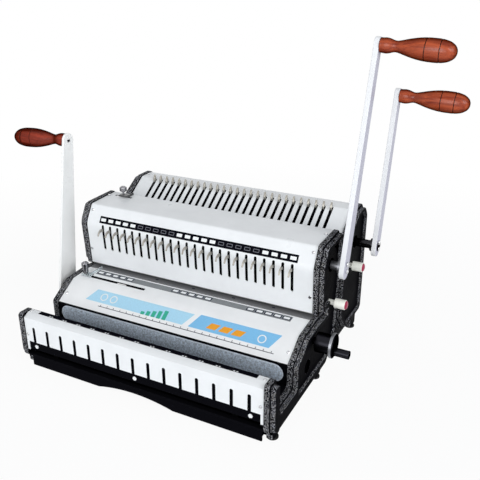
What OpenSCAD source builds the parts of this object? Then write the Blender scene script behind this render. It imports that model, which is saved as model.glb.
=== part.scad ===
// Two-unit punch and wire closer for the desk: a wire closer in front, a punch unit with a
// level throat behind it, and a second punch unit with an upright throat at the back.
// Every y below is measured from the closer's front face and every z from the table top.

/* [Frames] */
// Clear width between the side frames
inner_w = 392; // [384:1:420]
// Thickness of each cast side frame
frame_t = 15; // [13:0.5:18]
// Width of the inner bead round each frame
bead_w = 8.2; // [7:0.1:9]
// How far the outer bead stands back from the inner one
bead_in = 4.5; // [3:0.5:5]
// Width of the flat rim round the dish of each frame
rim_w = 6; // [4:0.5:8]
// Depth of the dish in each frame's outer face
dish_d = 4; // [2:0.5:6]
// How far the rim stands proud of the covers
proud = 1.5; // [1:0.25:2.5]
// Height of the frames' lower edge
frame_lift = 18; // [16:1:20]
// Thickness of the foot pads
pad_h = 3; // [2:0.5:4]
// Length of each cast foot
foot_l = 24; // [20:1:28]
// Thickness of the sheet metal covers
sheet_t = 1.5; // [1:0.1:2]

/* [Closer] */
// Depth of the closer's box
closer_d = 20.5; // [20:0.5:24]
// Height of the closer's top
closer_top = 90; // [86:1:94]
// Height of the lower edge of the slotted panel
panel_z = 46; // [45:1:48]
// Distance between those slots
closer_pitch = 25.4; // [20:0.2:25.4]
// Width of those slots
closer_slot_w = 4.8; // [3:0.2:6]
// Height of those slots
closer_slot_h = 25; // [15:1:30]
// How far the row of those slots sits to the left of the middle
closer_shift = 1.8; // [0:0.1:3]
// Height of the ledge that the wire lies on
anvil_z = 23; // [22:0.5:24]
// Height of the free opening above the ledge
wire_gap = 10; // [9:0.5:11]
// Thickness of the closing bar
bar_t = 7; // [6:0.5:7]

/* [Table] */
// Height of the trough's floor
trough_z = 43; // [43:0.5:45]
// Width of the trough between closer and table
trough_w = 52.5; // [48:0.5:58]
// Height of the black front between the trough's floor and the table's edge
panel_h = 34; // [31:1:37]
// Depth of the table's slope
slope_d = 39; // [35:1:43]
// Height of the table's slope
slope_h = 24; // [21:1:27]
// Depth of the whole table up to the throat
table_d = 87; // [83:1:91]
// Rise of the table behind its knee
table_rise = 3; // [2:0.5:4]
// Height of the round-ended inlay on the black front
inlay_h = 27; // [20:1:28]
// Distance from each end of that inlay to the frames
inlay_gap = 5.5; // [3:0.5:20]

/* [First punch unit] */
// Height of the throat
throat_h = 5; // [4.6:0.1:5.4]
// Height of the hood above the throat's floor
hood_h = 108; // [104:1:114]
// Depth of the hood
hood_d = 74; // [72:1:80]
// How far the hood's nose leans out over its lower edge
nose_out = 3.5; // [2:0.5:5]
// Depth of the slanted shoulder
shoulder_d = 16.5; // [14:0.5:19]
// Height of the slanted shoulder
shoulder_h = 30; // [27:1:33]
// Distance from the hood's lower edge to the row of holes
pin_d = 25; // [24:0.5:26]
// Plain length at each end of the row of holes
row_end = 27; // [20:1:40]
// Distance between the holes, nine sixteenths of an inch
front_pitch = 14.2875; // [12:0.0125:14.2875]
// Width of each slot in the hood
slot_w = 4; // [3:0.1:4]
// Length of each slot
slot_l = 43; // [42:1:46]
// Length of each punched hole
hole_l = 8; // [6:0.5:9]
// Width of each punched hole
hole_w = 3; // [2.5:0.1:3.2]
// Distance of the lever shaft below the hood's top
shaft_drop = 39; // [37:0.5:41]

/* [Rear punch unit] */
// Distance from the end of the hood's level top to the upright throat
unit_gap = 37; // [34:1:42]
// Depth from the upright throat to the machine's back
rear_depth = 89; // [86:1:96]
// Slope of the slotted panel in degrees
panel_a = 34.8; // [34:0.1:35.5]
// Distance from the rear shaft to the panel's surface
panel_n = 39.2; // [39:0.1:41]
// Height of the rear hood's ridge over the first hood
ridge_up = 6; // [5:0.5:8]
// Distance between the holes, half an inch
rear_pitch = 12.7; // [11:0.05:12.7]
// Width of each slot in the panel
rear_slot_w = 4.8; // [3.6:0.2:5]
// Length of each slot in the panel
rear_slot_l = 41; // [39:1:41]
// Radius of each punched hole
rear_hole_r = 3; // [2.5:0.1:3.2]
// Distance of the lever shaft below the rear hood's ridge
rear_shaft_drop = 51; // [50:0.5:53]

/* [Drive] */
// Radius of the lever shafts
shaft_r = 6.5; // [6:0.1:6.6]
// Module of the punch pinions
pinion_m = 1; // [1:1:1]
// Module of the hook gears
gear_m = 2; // [2:1:2]
// Teeth on every gear and pinion
teeth = 16; // [16:1:16]
// Thickness taken off each tooth of gear and rack so that they run free
backlash = 0.35; // [0.3:0.05:0.4]
// Stroke of the two punch levers in degrees
punch_stroke = 80; // [70:1:80]
// Stroke of the closing lever in degrees
close_stroke = 60; // [50:1:60]
// Drop of the closing bar over that stroke
close_drop = 6; // [5:0.25:6]
// Distance from the hook gears to the frames
gear_end = 7.5; // [6:0.5:9]
// Distance from the hook gears to the drive pinions
drive_gap = 29; // [26:1:32]
// Width of the pinions and racks
drive_w = 8; // [6:0.5:9]

/* [Levers] */
// Depth of the closing lever's shaft behind the table's front
closer_shaft_d = 47; // [44:1:50]
// Height of the closing lever's shaft above the trough's floor
closer_shaft_up = 7; // [6.5:0.5:8]
// Length of the left lever from shaft to grip
left_len = 267; // [240:1:290]
// Lean of the left lever in degrees
left_lean = 8.6; // [6:0.1:12]
// Length of the front right lever
front_len = 305; // [280:1:330]
// Lean of the front right lever in degrees
front_lean = 15.9; // [13:0.1:18]
// Length of the rear right lever
rear_len = 227; // [205:1:255]
// Lean of the rear right lever in degrees
rear_lean = 13.2; // [11:0.1:16]
// Thickness of the right levers
lever_t = 7.5; // [6:0.5:9]
// Thickness of the flat left lever
left_lever_t = 4; // [4:0.5:8]
// Gap between frame and the front right lever
front_out = 11; // [9.5:0.5:12.5]
// Gap between frame and the rear right lever
rear_out = 25; // [24.5:0.5:29.5]
// Gap between frame and the left lever
left_out = 8.5; // [7.5:0.5:11.5]
// Length of the right wooden grips
grip_l = 100; // [85:1:110]
// Length of the left wooden grip
left_grip_l = 106; // [85:1:115]
// Largest radius of the wooden grips
grip_r = 15.5; // [13:0.5:18]
// Droop of the grips in degrees
grip_droop = 3; // [0:0.5:5]

/* [Knobs and guides] */
// Depth of the gap dial's axis behind the table's front
dial_d = 70; // [68:1:72]
// Height of the gap dial's axis above the trough's floor
dial_up = 36; // [34:1:38]
// Length of the dial's drum
dial_l = 25.5; // [20:0.5:31]
// Radius of the dial's flange
dial_r = 18; // [16:0.5:20]
// Length of the dial's crank stub
crank_l = 22; // [16:1:28]
// Radius of the margin knobs
knob_r = 7.25; // [6:0.25:8]
// Length of the margin knobs
knob_l = 16; // [14:1:20]
// Travel of the front edge guide
front_guide_run = 110; // [60:5:110]
// Travel of the rear edge guide
rear_guide_run = 24; // [10:2:24]
// Height of the waste drawer's wall
drawer_h = 11; // [9:0.5:11]

/* [Hidden] */
$fn = 48;

// Clearances
run = 0.4;
fit = 0.05;
seat = 0.02;
eps = 1;

// Planes across the width
xi = inner_w / 2;
xo = xi + frame_t;
lid_w = inner_w - run;

// Depths and heights that follow one another from the closer backwards and upwards
table_y = closer_d + trough_w;
table_z = trough_z + panel_h;
knee_y = table_y + slope_d;
knee_z = table_z + slope_h;
throat_y = table_y + table_d;
throat_z = knee_z + table_rise;
nose_y = throat_y - nose_out;
hood_z = throat_z + hood_h;
nose_z = hood_z - shoulder_h;
crease_y = nose_y + shoulder_d;
hood_end = throat_y + hood_d;
ridge_z = hood_z + ridge_up;
rear_throat_y = hood_end + unit_gap;
body_d = rear_throat_y + rear_depth;

// Holes and slots that fit between the frames
closer_slots = 2 * floor((xi - 12) / closer_pitch) + 1;
front_count = 2 * floor((xi - row_end) / front_pitch + 0.5);
rear_count = 2 * floor((xi - row_end) / rear_pitch) + 1;

// Gear train
pinion_r = pinion_m * teeth / 2;
gear_r = gear_m * teeth / 2;
pressure_a = 20;
punch_travel = pinion_r * punch_stroke * PI / 180;
slide_travel = pinion_r * close_stroke * PI / 180;
rack_low = -1;
rack_high = 4;
gear_w = 8;
gear_x = xi - gear_end - gear_w;
drive_x = gear_x - drive_gap;
stroke_room = 0.8;

// Axes of shafts and knobs as [y, z]
front_pin_y = throat_y + pin_d;
front_shaft_y = front_pin_y + pinion_r + 6;
front_shaft_z = hood_z - shaft_drop;
rear_throat = throat_h;
rear_guide_t = 8;
rear_guide_front = rear_throat_y + rear_throat;
rear_bar_t = 5.5;
rear_bar_y = rear_guide_front + rear_guide_t + punch_travel + stroke_room;
rear_shaft_y = rear_bar_y + rear_bar_t + pinion_r + pinion_m + 0.53;
rear_shaft_z = ridge_z - rear_shaft_drop;
rear_hole_z = rear_shaft_z - 8;
closer_shaft_y = table_y + closer_shaft_d;
closer_shaft_z = trough_z + closer_shaft_up;
dial_y = table_y + dial_d;
dial_z = trough_z + dial_up;
front_axis = [front_shaft_y, front_shaft_z];
rear_axis = [rear_shaft_y, rear_shaft_z];
closer_axis = [closer_shaft_y, closer_shaft_z];
dial_axis = [dial_y, dial_z];

// Middle of the whole machine with its levers, which becomes the origin
grip_more = (grip_l - left_grip_l) * cos(grip_droop);
mid_x = (rear_out + lever_t - left_out - left_lever_t + grip_more) / 2;
mid_y = (rear_shaft_y + rear_len * sin(rear_lean) + grip_r - proud) / 2;

// Closer
cover_t = sheet_t;
bar_y = cover_t + run;
bar_back = bar_y + bar_t;
bar_z = anvil_z + wire_gap;
anvil_t = 3;
anvil_d = bar_back;
closer_back = closer_d - sheet_t;
flange_d = closer_back - run;
tab_w = 4;
scale_h = 7;
scale_left = 18;
scale_right = 15;
notch_front = 11;

// Closing slides: the head holds a slanted slot for the bar's pin
pin_r = 2.5;
pin_y = bar_back + 15;
pin_z = anvil_z + 11;
head_wall = 3.5;
slide_top = closer_shaft_z - pinion_r;
slide_t = 10;

// Table
lip_gap = 2;
table_end = throat_y - 6.5;
table_path = [[table_y + 1, table_z], [knee_y, knee_z], [table_end, table_at(table_end)]];
panel_y = table_y + sheet_t + run;
guide_slot_y = throat_y - 32;
guide_slot_w = 4;
front_guide_x = -xi + 13;
inlay_t = 1;
inlay_w = inner_w - 2 * inlay_gap;
strip_end = 24.5;
scale_t = 0.6;

// First punch unit
die_t = 10;
guide_t = 15;
guide_z = throat_z + throat_h;
die_back = front_pin_y + 11;
hood_lip = guide_z + 1.5;
guide_back = front_pin_y + 4;
hood_drop = hood_z - 22;
rear_lip_y = rear_throat_y - 2.5;
hood_path = round_path([[throat_y + 1, hood_lip], [nose_y, nose_z], [crease_y, hood_z - 2.5],
  [hood_end, hood_z], [rear_lip_y, hood_drop]], [0, 24, 5, 4, 0], 6);
slot_top = nose_z;
punch_bar_z = guide_z + guide_t + punch_travel + stroke_room;
bar_front_y = front_pin_y - 5;
bar_rear_y = front_shaft_y - pinion_r - 1.25 * pinion_m;
hook_z = slot_top - 11;
hook_bar_y = throat_y + 2.5;
hook_bar_t = 4;
rear_guide_x = -xi + 29;
rear_guide_y = hood_end - 14;

// Margin stops: eccentric discs on a rod behind each throat
rod_r = 4;
stop_r = 7;
stop_off = 2.5;
stop_x = [-8 * front_pitch, 0, 8 * front_pitch];
stop_w = 3;
front_margin = [front_shaft_y, throat_z + stop_r + stop_off + 1];
rear_margin = [rear_throat_y + 4, rear_hole_z - 16.5];
knob_gap = 5;

// Rear punch unit
rear_die_t = 12;
rear_plate_z = rear_margin[1] + stop_r + stop_off + 1;
rear_plate_top = hood_drop - 3;
rear_guide_top = rear_plate_z + 30;
rack_room = 1.2;
slope_down = [-cos(panel_a), -sin(panel_a)];
slope_out = [-sin(panel_a), cos(panel_a)];
panel_low_u = 14;
crease_u = -32;
rear_slot_low = 10.6;
rear_slot_high = rear_slot_low - rear_slot_l;
rear_back_y = body_d - 2 * sheet_t;
rear_hood_path = round_path([on_slope(panel_low_u, panel_n), on_slope(crease_u, panel_n),
  [body_d - 15, ridge_z], [rear_back_y, ridge_z - 18], [rear_back_y, ridge_z - 60]],
  [0, 4, 8, 6, 0], 5);
finger_u = -22;

// Rails, rods and drawer
rail_t = 3;
rail_z = pad_h + 2;
rail_in = 12;
drawer_z = rail_z + rail_t + run;
drawer_wall = 1.5;
drawer_w = inner_w - 2 * rail_t - 2 * run;
drawer_back = body_d - 30;
apron_y = 3;
apron_z = 2;
apron_t = 3;
arch_w = 126;
arch_h = 8;
arch_x = -5;

// Outline of the front frame: closer, trough, table, shoulder, top, back, feet
throat_open = throat_y + 22;
function table_edge(lift) = [[table_y - proud, table_z], [knee_y - proud, knee_z + proud],
  [throat_y - 6, throat_z + proud], [throat_open, throat_z], [throat_open, guide_z],
  [throat_y + 1 - proud, guide_z], [nose_y - proud, nose_z], [crease_y - proud, hood_z],
  [hood_end, hood_z + proud], [hood_end + 6, hood_z - 6], [hood_end + 6, throat_z + 26],
  [hood_end - 3, trough_z + 7], [hood_end - 44, lift]];
function front_base(lift) = concat([[-proud, lift], [-proud, closer_top + proud],
  [closer_d, closer_top + proud], [closer_d + 1, trough_z], [table_y - proud, trough_z]],
  table_edge(lift));
front_dish = concat([[table_y - proud, frame_lift]], table_edge(frame_lift));
front_round = [8, 5, 5, 6, 6, 6, 8, 4, 1.5, 1.5, 2, 24, 6, 4, 4, 30, 20, 10];
front_feet = [closer_d, throat_y + 11];
rear_base = [[hood_end + 12, 62], [hood_end + 12, nose_z - 22], [rear_throat_y + 2, hood_drop + 3],
  on_slope(crease_u, panel_n) + [-proud, proud], [body_d - 14, ridge_z + proud],
  [body_d + proud - 1, ridge_z - 17], [body_d + proud - 1, 32], [body_d - 10, 26],
  [body_d - 84, 26]];
rear_round = [12, 20, 12, 8, 10, 14, 8, 8, 12];
rear_feet = [body_d - 22];

// Geometry helpers
function rev(p) = [for (i = [len(p) - 1:-1:0]) p[i]];
function unit(v) = v / norm(v);
function left_of(v) = [-v[1], v[0]];
function mitre(a, b, t) = let (n = left_of(a) + left_of(b)) n * t * 2 / (n * n);
// A path moved to its left by t
function shifted(p, t) = [for (i = [0:len(p) - 1])
  let (a = unit(i > 0 ? p[i] - p[i - 1] : p[1] - p[0]), b = i < len(p) - 1 ? unit(p[i + 1] - p[i]) : a)
  p[i] + mitre(a, b, t)];
// A closed outline moved to its left by t
function loop_shifted(p, t) = let (n = len(p)) [for (i = [0:n - 1])
  p[i] + mitre(unit(p[i] - p[(i + n - 1) % n]), unit(p[(i + 1) % n] - p[i]), t)];
function band(p, t) = concat(p, rev(shifted(p, t)));
// Arc of radius r that rounds the corner b between a and c
function corner(a, b, c, r, n) = r == 0 ? [b] :
  let (u = unit(a - b), v = unit(c - b), h = acos(u * v) / 2, m = b + unit(u + v) * r / sin(h),
    s = b + u * r / tan(h) - m, e = b + v * r / tan(h) - m)
  [for (i = [0:n]) m + r * unit(s * (1 - i / n) + e * i / n)];
function round_path(p, r, n) = [p[0], for (i = [1:len(p) - 2]) each corner(p[i - 1], p[i], p[i + 1], r[i], n),
  p[len(p) - 1]];
function round_loop(p, r, n) = let (k = len(p))
  [for (i = [0:k - 1]) each corner(p[(i + k - 1) % k], p[i], p[(i + 1) % k], r[i], n)];
// Point on the rear slope: u runs down the slope from the shaft, n stands out of it
function on_slope(u, n) = rear_axis + u * slope_down + n * slope_out;
// Height of the table cover at depth y behind the knee
function table_at(y) = knee_z + (throat_z - knee_z) * (y - knee_y) / (throat_y - 1 - knee_y);
// Point at distance s along the hood's shoulder, t proud of it
function on_shoulder(s, t) = let (a = [nose_y, nose_z], d = unit([crease_y, hood_z - 2.5] - a))
  a + s * d + t * left_of(d);
// Depth of the hood's front at height z
function hood_front(z) = throat_y + 1 + (nose_y - throat_y - 1) * (z - hood_lip) / (nose_z - hood_lip);
function row(i, count, pitch) = (i - (count - 1) / 2) * pitch;

// Involute gear outline and the rack that meshes with it
function inv(a) = tan(a) * 180 / PI - a;
function half_tooth(p, r) = 90 / teeth - backlash / 2 / r * 180 / PI + inv(pressure_a)
  - inv(acos(min(1, r * cos(pressure_a) / p)));
function gear_points(m) = let (r = m * teeth / 2, b = r * cos(pressure_a),
    radii = [r - 1.25 * m, b, (b + r) / 2, r, r + m / 2, r + m])
  [for (k = [0:teeth - 1]) each let (a = k * 360 / teeth,
    side = [for (p = radii) [p, half_tooth(max(p, b), r)]])
    concat([for (s = side) s[0] * [cos(a - s[1]), sin(a - s[1])]],
      [for (s = rev(side)) s[0] * [cos(a + s[1]), sin(a + s[1])]])];
function rack_points(m, depth) = let (step = PI * m, w = (step / 2 - backlash) / 2, root = 1.25 * m)
  concat([[rack_low * step, -depth], [rack_low * step, -root]],
    [for (k = [rack_low:rack_high]) let (c = (k + 0.5) * step)
      each [[c - w - root * tan(pressure_a), -root], [c - w + m * tan(pressure_a), m],
        [c + w - m * tan(pressure_a), m], [c + w + root * tan(pressure_a), -root]]],
    [[(rack_high + 1) * step, -root], [(rack_high + 1) * step, -depth]]);
// Rack beside a gear at centre c, in direction a from it
function rack_beside(c, m, a, depth) = [for (p = rack_points(m, depth))
  c + (m * teeth / 2 - p[1]) * [cos(a), sin(a)] - p[0] * [-sin(a), cos(a)]];

// Placing helpers
module placed() translate([-mid_x, -mid_y, 0]) children();
module along_x(x0, x1) translate([x0, 0, 0]) rotate([90, 0, 90]) linear_extrude(x1 - x0) children();
module plate_x(x0, x1, p) along_x(x0, x1) polygon(p);
module rod_x(c, r, x0, x1) translate([x0, c[0], c[1]]) rotate([0, 90, 0]) cylinder(r = r, h = x1 - x0);
module rod_y(x, z, r, y0, y1) translate([x, y1, z]) rotate([90, 0, 0]) cylinder(r = r, h = y1 - y0);
module rod_z(x, y, r, z0, z1) translate([x, y, z0]) cylinder(r = r, h = z1 - z0);
module box(lo, hi) translate(lo) cube(hi - lo);
module both_sides() {
  children();
  mirror([1, 0, 0]) children();
}
// Round-ended slot through a sheet, along z, cut from y0 to y1
module slot_z(x, z0, z1, w, y0, y1) {
  box([x - w / 2, y0, z0 + w / 2], [x + w / 2, y1, z1 - w / 2]);
  rod_y(x, z0 + w / 2, w / 2, y0, y1);
  rod_y(x, z1 - w / 2, w / 2, y0, y1);
}

// Cast side frame on the right: an inner bead, an outer bead that stands back, a dish outside
module side_frame(base, outer, dish, radii, feet, bores) {
  difference() {
    union() {
      plate_x(xi, xi + bead_w, round_loop(base, radii, 5));
      plate_x(xi + bead_w - eps, xo, round_loop(loop_shifted(outer, -bead_in), radii, 5));
      for (y = feet) cast_foot(y);
    }
    plate_x(xo - dish_d, xo + eps, loop_shifted(dish, -bead_in - rim_w));
    for (b = bores) rod_x([b[0], b[1]], b[2], xi - eps, xo + eps);
  }
}
foot_x = xi + bead_w + 1;
module cast_foot(y) {
  half = foot_l / 2;
  box([xi, y - half, pad_h + 4], [foot_x, y + half, frame_lift + 10]);
  box([xi, y - half + 4, pad_h], [foot_x, y + half - 4, pad_h + 4]);
  for (s = [-1, 1]) rod_x([y + s * (half - 4), pad_h + 4], 4, xi, foot_x);
}

bush_r = shaft_r + 3.5;
front_bores = [[front_axis[0], front_axis[1], bush_r + seat], [closer_axis[0], closer_axis[1], bush_r + seat],
  [front_margin[0], front_margin[1], rod_r + fit]];
dial_shaft_r = 5;
dial_bore = [[dial_y, dial_z, dial_shaft_r + fit]];
rear_bores = [[rear_axis[0], rear_axis[1], bush_r + seat], [rear_margin[0], rear_margin[1], rod_r + fit]];

module left_frame() {
  color("#26272b") placed() mirror([1, 0, 0]) side_frame(front_base(frame_lift),
    front_base(frame_lift - bead_in), front_dish, front_round, front_feet, front_bores);
}
module right_frame() {
  color("#26272b") placed() side_frame(front_base(frame_lift),
    front_base(frame_lift - bead_in), front_dish, front_round, front_feet, concat(front_bores, dial_bore));
}
module rear_left_frame() {
  color("#26272b") placed() mirror([1, 0, 0]) side_frame(rear_base, rear_base, rear_base, rear_round,
    rear_feet, rear_bores);
}
module rear_right_frame() {
  color("#26272b") placed() side_frame(rear_base, rear_base, rear_base, rear_round,
    rear_feet, rear_bores);
}

module foot_pads() {
  pad_r = foot_l / 2 - 4;
  color("#1a1a1a") placed() both_sides()
    for (y = concat(front_feet, rear_feet)) rod_z(xi + bead_w / 2, y, pad_r, 0, pad_h);
}

// Angle rails: they tie front and rear frames together and the drawer runs on them
module base_rails() {
  color("#3a3b3e") placed() both_sides() {
    box([xi - rail_t, 14, rail_z], [xi, drawer_back + 20, frame_lift + 10]);
    box([xi - rail_in, 14, rail_z], [xi - rail_t, drawer_back + 20, rail_z + rail_t]);
  }
}

rod_spots = [[table_y + 22, trough_z + 23, 5], [hood_end - 8, hood_z - 16, 5], [body_d - 22, 60, 5],
  [body_d - 20, ridge_z - 20, 5]];
module tie_rods() {
  color("#8d9094") placed() {
    for (s = rod_spots) rod_x([s[0], s[1]], s[2], -xi, xi);
    rod_x([table_y - 13, frame_lift + 6], 3, rail_t - xi, xi - rail_t);
  }
}

module bush(c) {
  difference() {
    rod_x(c, bush_r, xi, xo - dish_d);
    rod_x(c, shaft_r + fit, xi - eps, xo + eps);
  }
}
module shaft_bushes() {
  color("#b08d57") placed() both_sides() for (c = [front_axis, rear_axis, closer_axis]) bush(c);
}

module closer_cover() {
  half = lid_w / 2;
  path = [[0, panel_z], [0, closer_top - 5], [9, closer_top], [flange_d, closer_top]];
  color("#f4f5f7") placed() difference() {
    union() {
      plate_x(-half, half, band(path, -cover_t));
      both_sides() box([half - tab_w, 0, bar_z - 2], [half, cover_t, panel_z + eps]);
    }
    for (i = [0:closer_slots - 1]) let (x = row(i, closer_slots, closer_pitch) - closer_shift) {
      box([x - closer_slot_w / 2, -eps, panel_z - eps],
        [x + closer_slot_w / 2, cover_t + eps, panel_z + closer_slot_h - closer_slot_w / 2]);
      rod_y(x, panel_z + closer_slot_h - closer_slot_w / 2, closer_slot_w / 2, -eps, cover_t + eps);
    }
    box([-half + scale_left, notch_front, closer_top - cover_t - eps],
      [half - scale_right, flange_d + eps, closer_top + eps]);
  }
}

// Tick bar that fills the notch of the top flange
module closer_scale() {
  half = lid_w / 2;
  color("#141416") placed() {
    box([-half + scale_left + run, notch_front + run, closer_top - scale_h],
      [half - scale_right - run, closer_back, closer_top - run]);
  }
}

module closer_anvil() {
  color("#1d1e21") placed() {
    box([-xi, apron_y - 2, anvil_z - anvil_t], [xi, anvil_d, anvil_z]);
    both_sides() box([xi - 5, anvil_d, anvil_z - anvil_t], [xi - rail_t, closer_d, anvil_z + 10]);
  }
}

// Back wall of the closer and floor of the trough, one bent sheet
module trough_sheet() {
  path = [[closer_back, closer_top - 1], [closer_back, trough_z - sheet_t], [panel_y, trough_z - sheet_t]];
  color("#1d1e21") placed() plate_x(-lid_w / 2, lid_w / 2, band(path, sheet_t));
}

module front_panel() {
  color("#17181b") placed() box([-lid_w / 2, panel_y - sheet_t, trough_z],
    [lid_w / 2, panel_y, table_z - lip_gap]);
}

module front_inlay() {
  mid = (trough_z + table_z) / 2;
  r = inlay_h / 2;
  y1 = panel_y - sheet_t;
  color("#7d8087") placed() {
    box([-inlay_w / 2 + r, y1 - inlay_t, mid - r], [inlay_w / 2 - r, y1, mid + r]);
    for (s = [-1, 1]) rod_y(s * (inlay_w / 2 - r), mid, r, y1 - inlay_t, y1);
  }
}

module table_cover() {
  x0 = front_guide_x - 4;
  color("#f4f5f7") placed() difference() {
    plate_x(-lid_w / 2, lid_w / 2, band(table_path, -sheet_t));
    box([x0, guide_slot_y - guide_slot_w / 2, knee_z - 5],
      [front_guide_x + front_guide_run + 4, guide_slot_y + guide_slot_w / 2, throat_z + 5]);
  }
}

module table_scale() {
  strip = [for (y = [throat_y - 22, throat_y - 10]) [y, table_at(y)]];
  color("#c9ccd1") placed() plate_x(-xi + strip_end, xi - strip_end, band(strip, scale_t));
}

// Row of oblong holes under or above the first throat
module oblong_row(z0, z1, gap) {
  for (i = [0:front_count - 1]) let (x = row(i, front_count, front_pitch))
    box([x - hole_l / 2 - gap, front_pin_y - hole_w / 2 - gap, z0],
      [x + hole_l / 2 + gap, front_pin_y + hole_w / 2 + gap, z1]);
}
module front_die() {
  color("#4b4e52") placed() difference() {
    box([-xi, table_end + 1, throat_z - die_t], [xi, die_back, throat_z]);
    oblong_row(throat_z - die_t - eps, throat_z + eps, run);
  }
}
module front_punch_guide() {
  color("#4b4e52") placed() difference() {
    box([-xi, throat_y + 2.5, guide_z], [xi, guide_back, guide_z + guide_t]);
    oblong_row(guide_z - eps, guide_z + guide_t + eps, run);
  }
}

module hood() {
  color("#f4f5f7") placed() difference() {
    plate_x(-lid_w / 2, lid_w / 2, band(hood_path, -sheet_t));
    for (i = [0:front_count - 1])
      slot_z(row(i, front_count, front_pitch), slot_top - slot_l, slot_top, slot_w, nose_y - 5, throat_y + 5);
    box([rear_guide_x - rear_guide_run / 2 - 4, rear_guide_y - guide_slot_w / 2, hood_z - 8],
      [rear_guide_x + rear_guide_run / 2 + 4, rear_guide_y + guide_slot_w / 2, hood_z + eps]);
  }
}

module hood_strip() {
  strip = [on_shoulder(3.2, 0), on_shoulder(14.7, 0)];
  color("#141416") placed() plate_x(-xi + strip_end, xi - strip_end, band(strip, 0.5));
}

module rear_die() {
  color("#4b4e52") placed() difference() {
    box([-xi, rear_throat_y - rear_die_t, rear_plate_z], [xi, rear_throat_y, rear_plate_top]);
    for (i = [0:rear_count - 1]) rod_y(row(i, rear_count, rear_pitch), rear_hole_z, rear_hole_r + run,
      rear_throat_y - rear_die_t - eps, rear_throat_y + eps);
  }
}
module rear_punch_guide() {
  color("#4b4e52") placed() difference() {
    box([-xi, rear_guide_front, rear_plate_z], [xi, rear_guide_front + rear_guide_t, rear_guide_top]);
    both_sides() box([gear_x - rack_room, rear_guide_front - eps, rear_plate_z + 6],
      [gear_x + gear_w + rack_room, rear_guide_front + rear_guide_t + eps, rear_guide_top + eps]);
    for (i = [0:rear_count - 1]) rod_y(row(i, rear_count, rear_pitch), rear_hole_z, rear_hole_r + run,
      rear_guide_front - eps, rear_guide_front + rear_guide_t + eps);
  }
}

// Rear cover: slotted slope, flat top and back edge
module rear_hood() {
  color("#f4f5f7") placed() difference() {
    plate_x(-lid_w / 2, lid_w / 2, band(rear_hood_path, -sheet_t));
    for (i = [0:rear_count - 1]) let (x = row(i, rear_count, rear_pitch))
      plate_x(x - rear_slot_w / 2, x + rear_slot_w / 2, [on_slope(rear_slot_low, panel_n - 6),
        on_slope(rear_slot_low, panel_n + 6), on_slope(rear_slot_high, panel_n + 6),
        on_slope(rear_slot_high, panel_n - 6)]);
  }
}

module back_cover() {
  color("#e3e5e8") placed() box([-lid_w / 2, rear_back_y + run, 30],
    [lid_w / 2, rear_back_y + run + sheet_t, ridge_z - 40]);
}

// Button-head screws at the ends of the covers
module cover_screws() {
  head_r = 2.4;
  head_h = 1.2;
  x = lid_w / 2 - 4;
  low_z = hood_lip + 26;
  seat_gap = 0.2;
  color("#9a9da1") placed() both_sides() {
    rod_y(x, panel_z + 12, head_r, -head_h, 0);
    rod_z(x, notch_front + 1.5, head_r, closer_top, closer_top + head_h);
    rod_y(x, low_z, head_r, hood_front(low_z) - head_h - seat_gap, hood_front(low_z) - seat_gap);
    rod_z(x, hood_end - 20, head_r, hood_z - 0.7, hood_z + head_h);
    rod_z(x, body_d - 30, head_r, ridge_z - 0.1, ridge_z + head_h);
  }
}

// Waste drawer: its front is the apron with the arched finger recess
module chip_drawer() {
  half = drawer_w / 2;
  arch_r = (arch_w * arch_w / 4 + arch_h * arch_h) / (2 * arch_h);
  color("#1b1c1f") placed() {
    difference() {
      box([-half, apron_y, apron_z], [half, apron_y + apron_t, drawer_z + drawer_h]);
      rod_y(arch_x, apron_z + arch_h - arch_r, arch_r, apron_y - eps, apron_y + apron_t + eps);
    }
    box([-half, apron_y + apron_t, drawer_z], [half, drawer_back, drawer_z + drawer_wall]);
    box([-half, drawer_back - drawer_wall, drawer_z], [half, drawer_back, drawer_z + drawer_h]);
    both_sides() box([half - drawer_wall, apron_y + apron_t, drawer_z],
      [half, drawer_back, drawer_z + drawer_h]);
  }
}

module closing_bar() {
  half = lid_w / 2 - tab_w - run;
  color("#1b1c1f") placed() {
    box([-half, 0.6, bar_z], [half, bar_back, panel_z - run]);
    box([-half, bar_y, panel_z - run - 0.01], [half, bar_back, closer_top - scale_h - 2]);
    both_sides() {
      for (s = [-1, 1]) let (x = drive_x + s * (drive_w / 2 + run + 1.5))
        box([x - 1.5, bar_back, pin_z - 4], [x + 1.5, pin_y + 4, pin_z + 3.5]);
      rod_x([pin_y, pin_z], pin_r, drive_x - drive_w / 2 - 2, drive_x + drive_w / 2 + 2);
    }
  }
}
module closing_bar_screws() {
  color("#e9eaec") placed() for (s = [-1, 0, 1])
    rod_y(s * (closer_slots - 1) / 2 * closer_pitch, bar_z + 6, 3, -0.4, 0.6);
}

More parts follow.
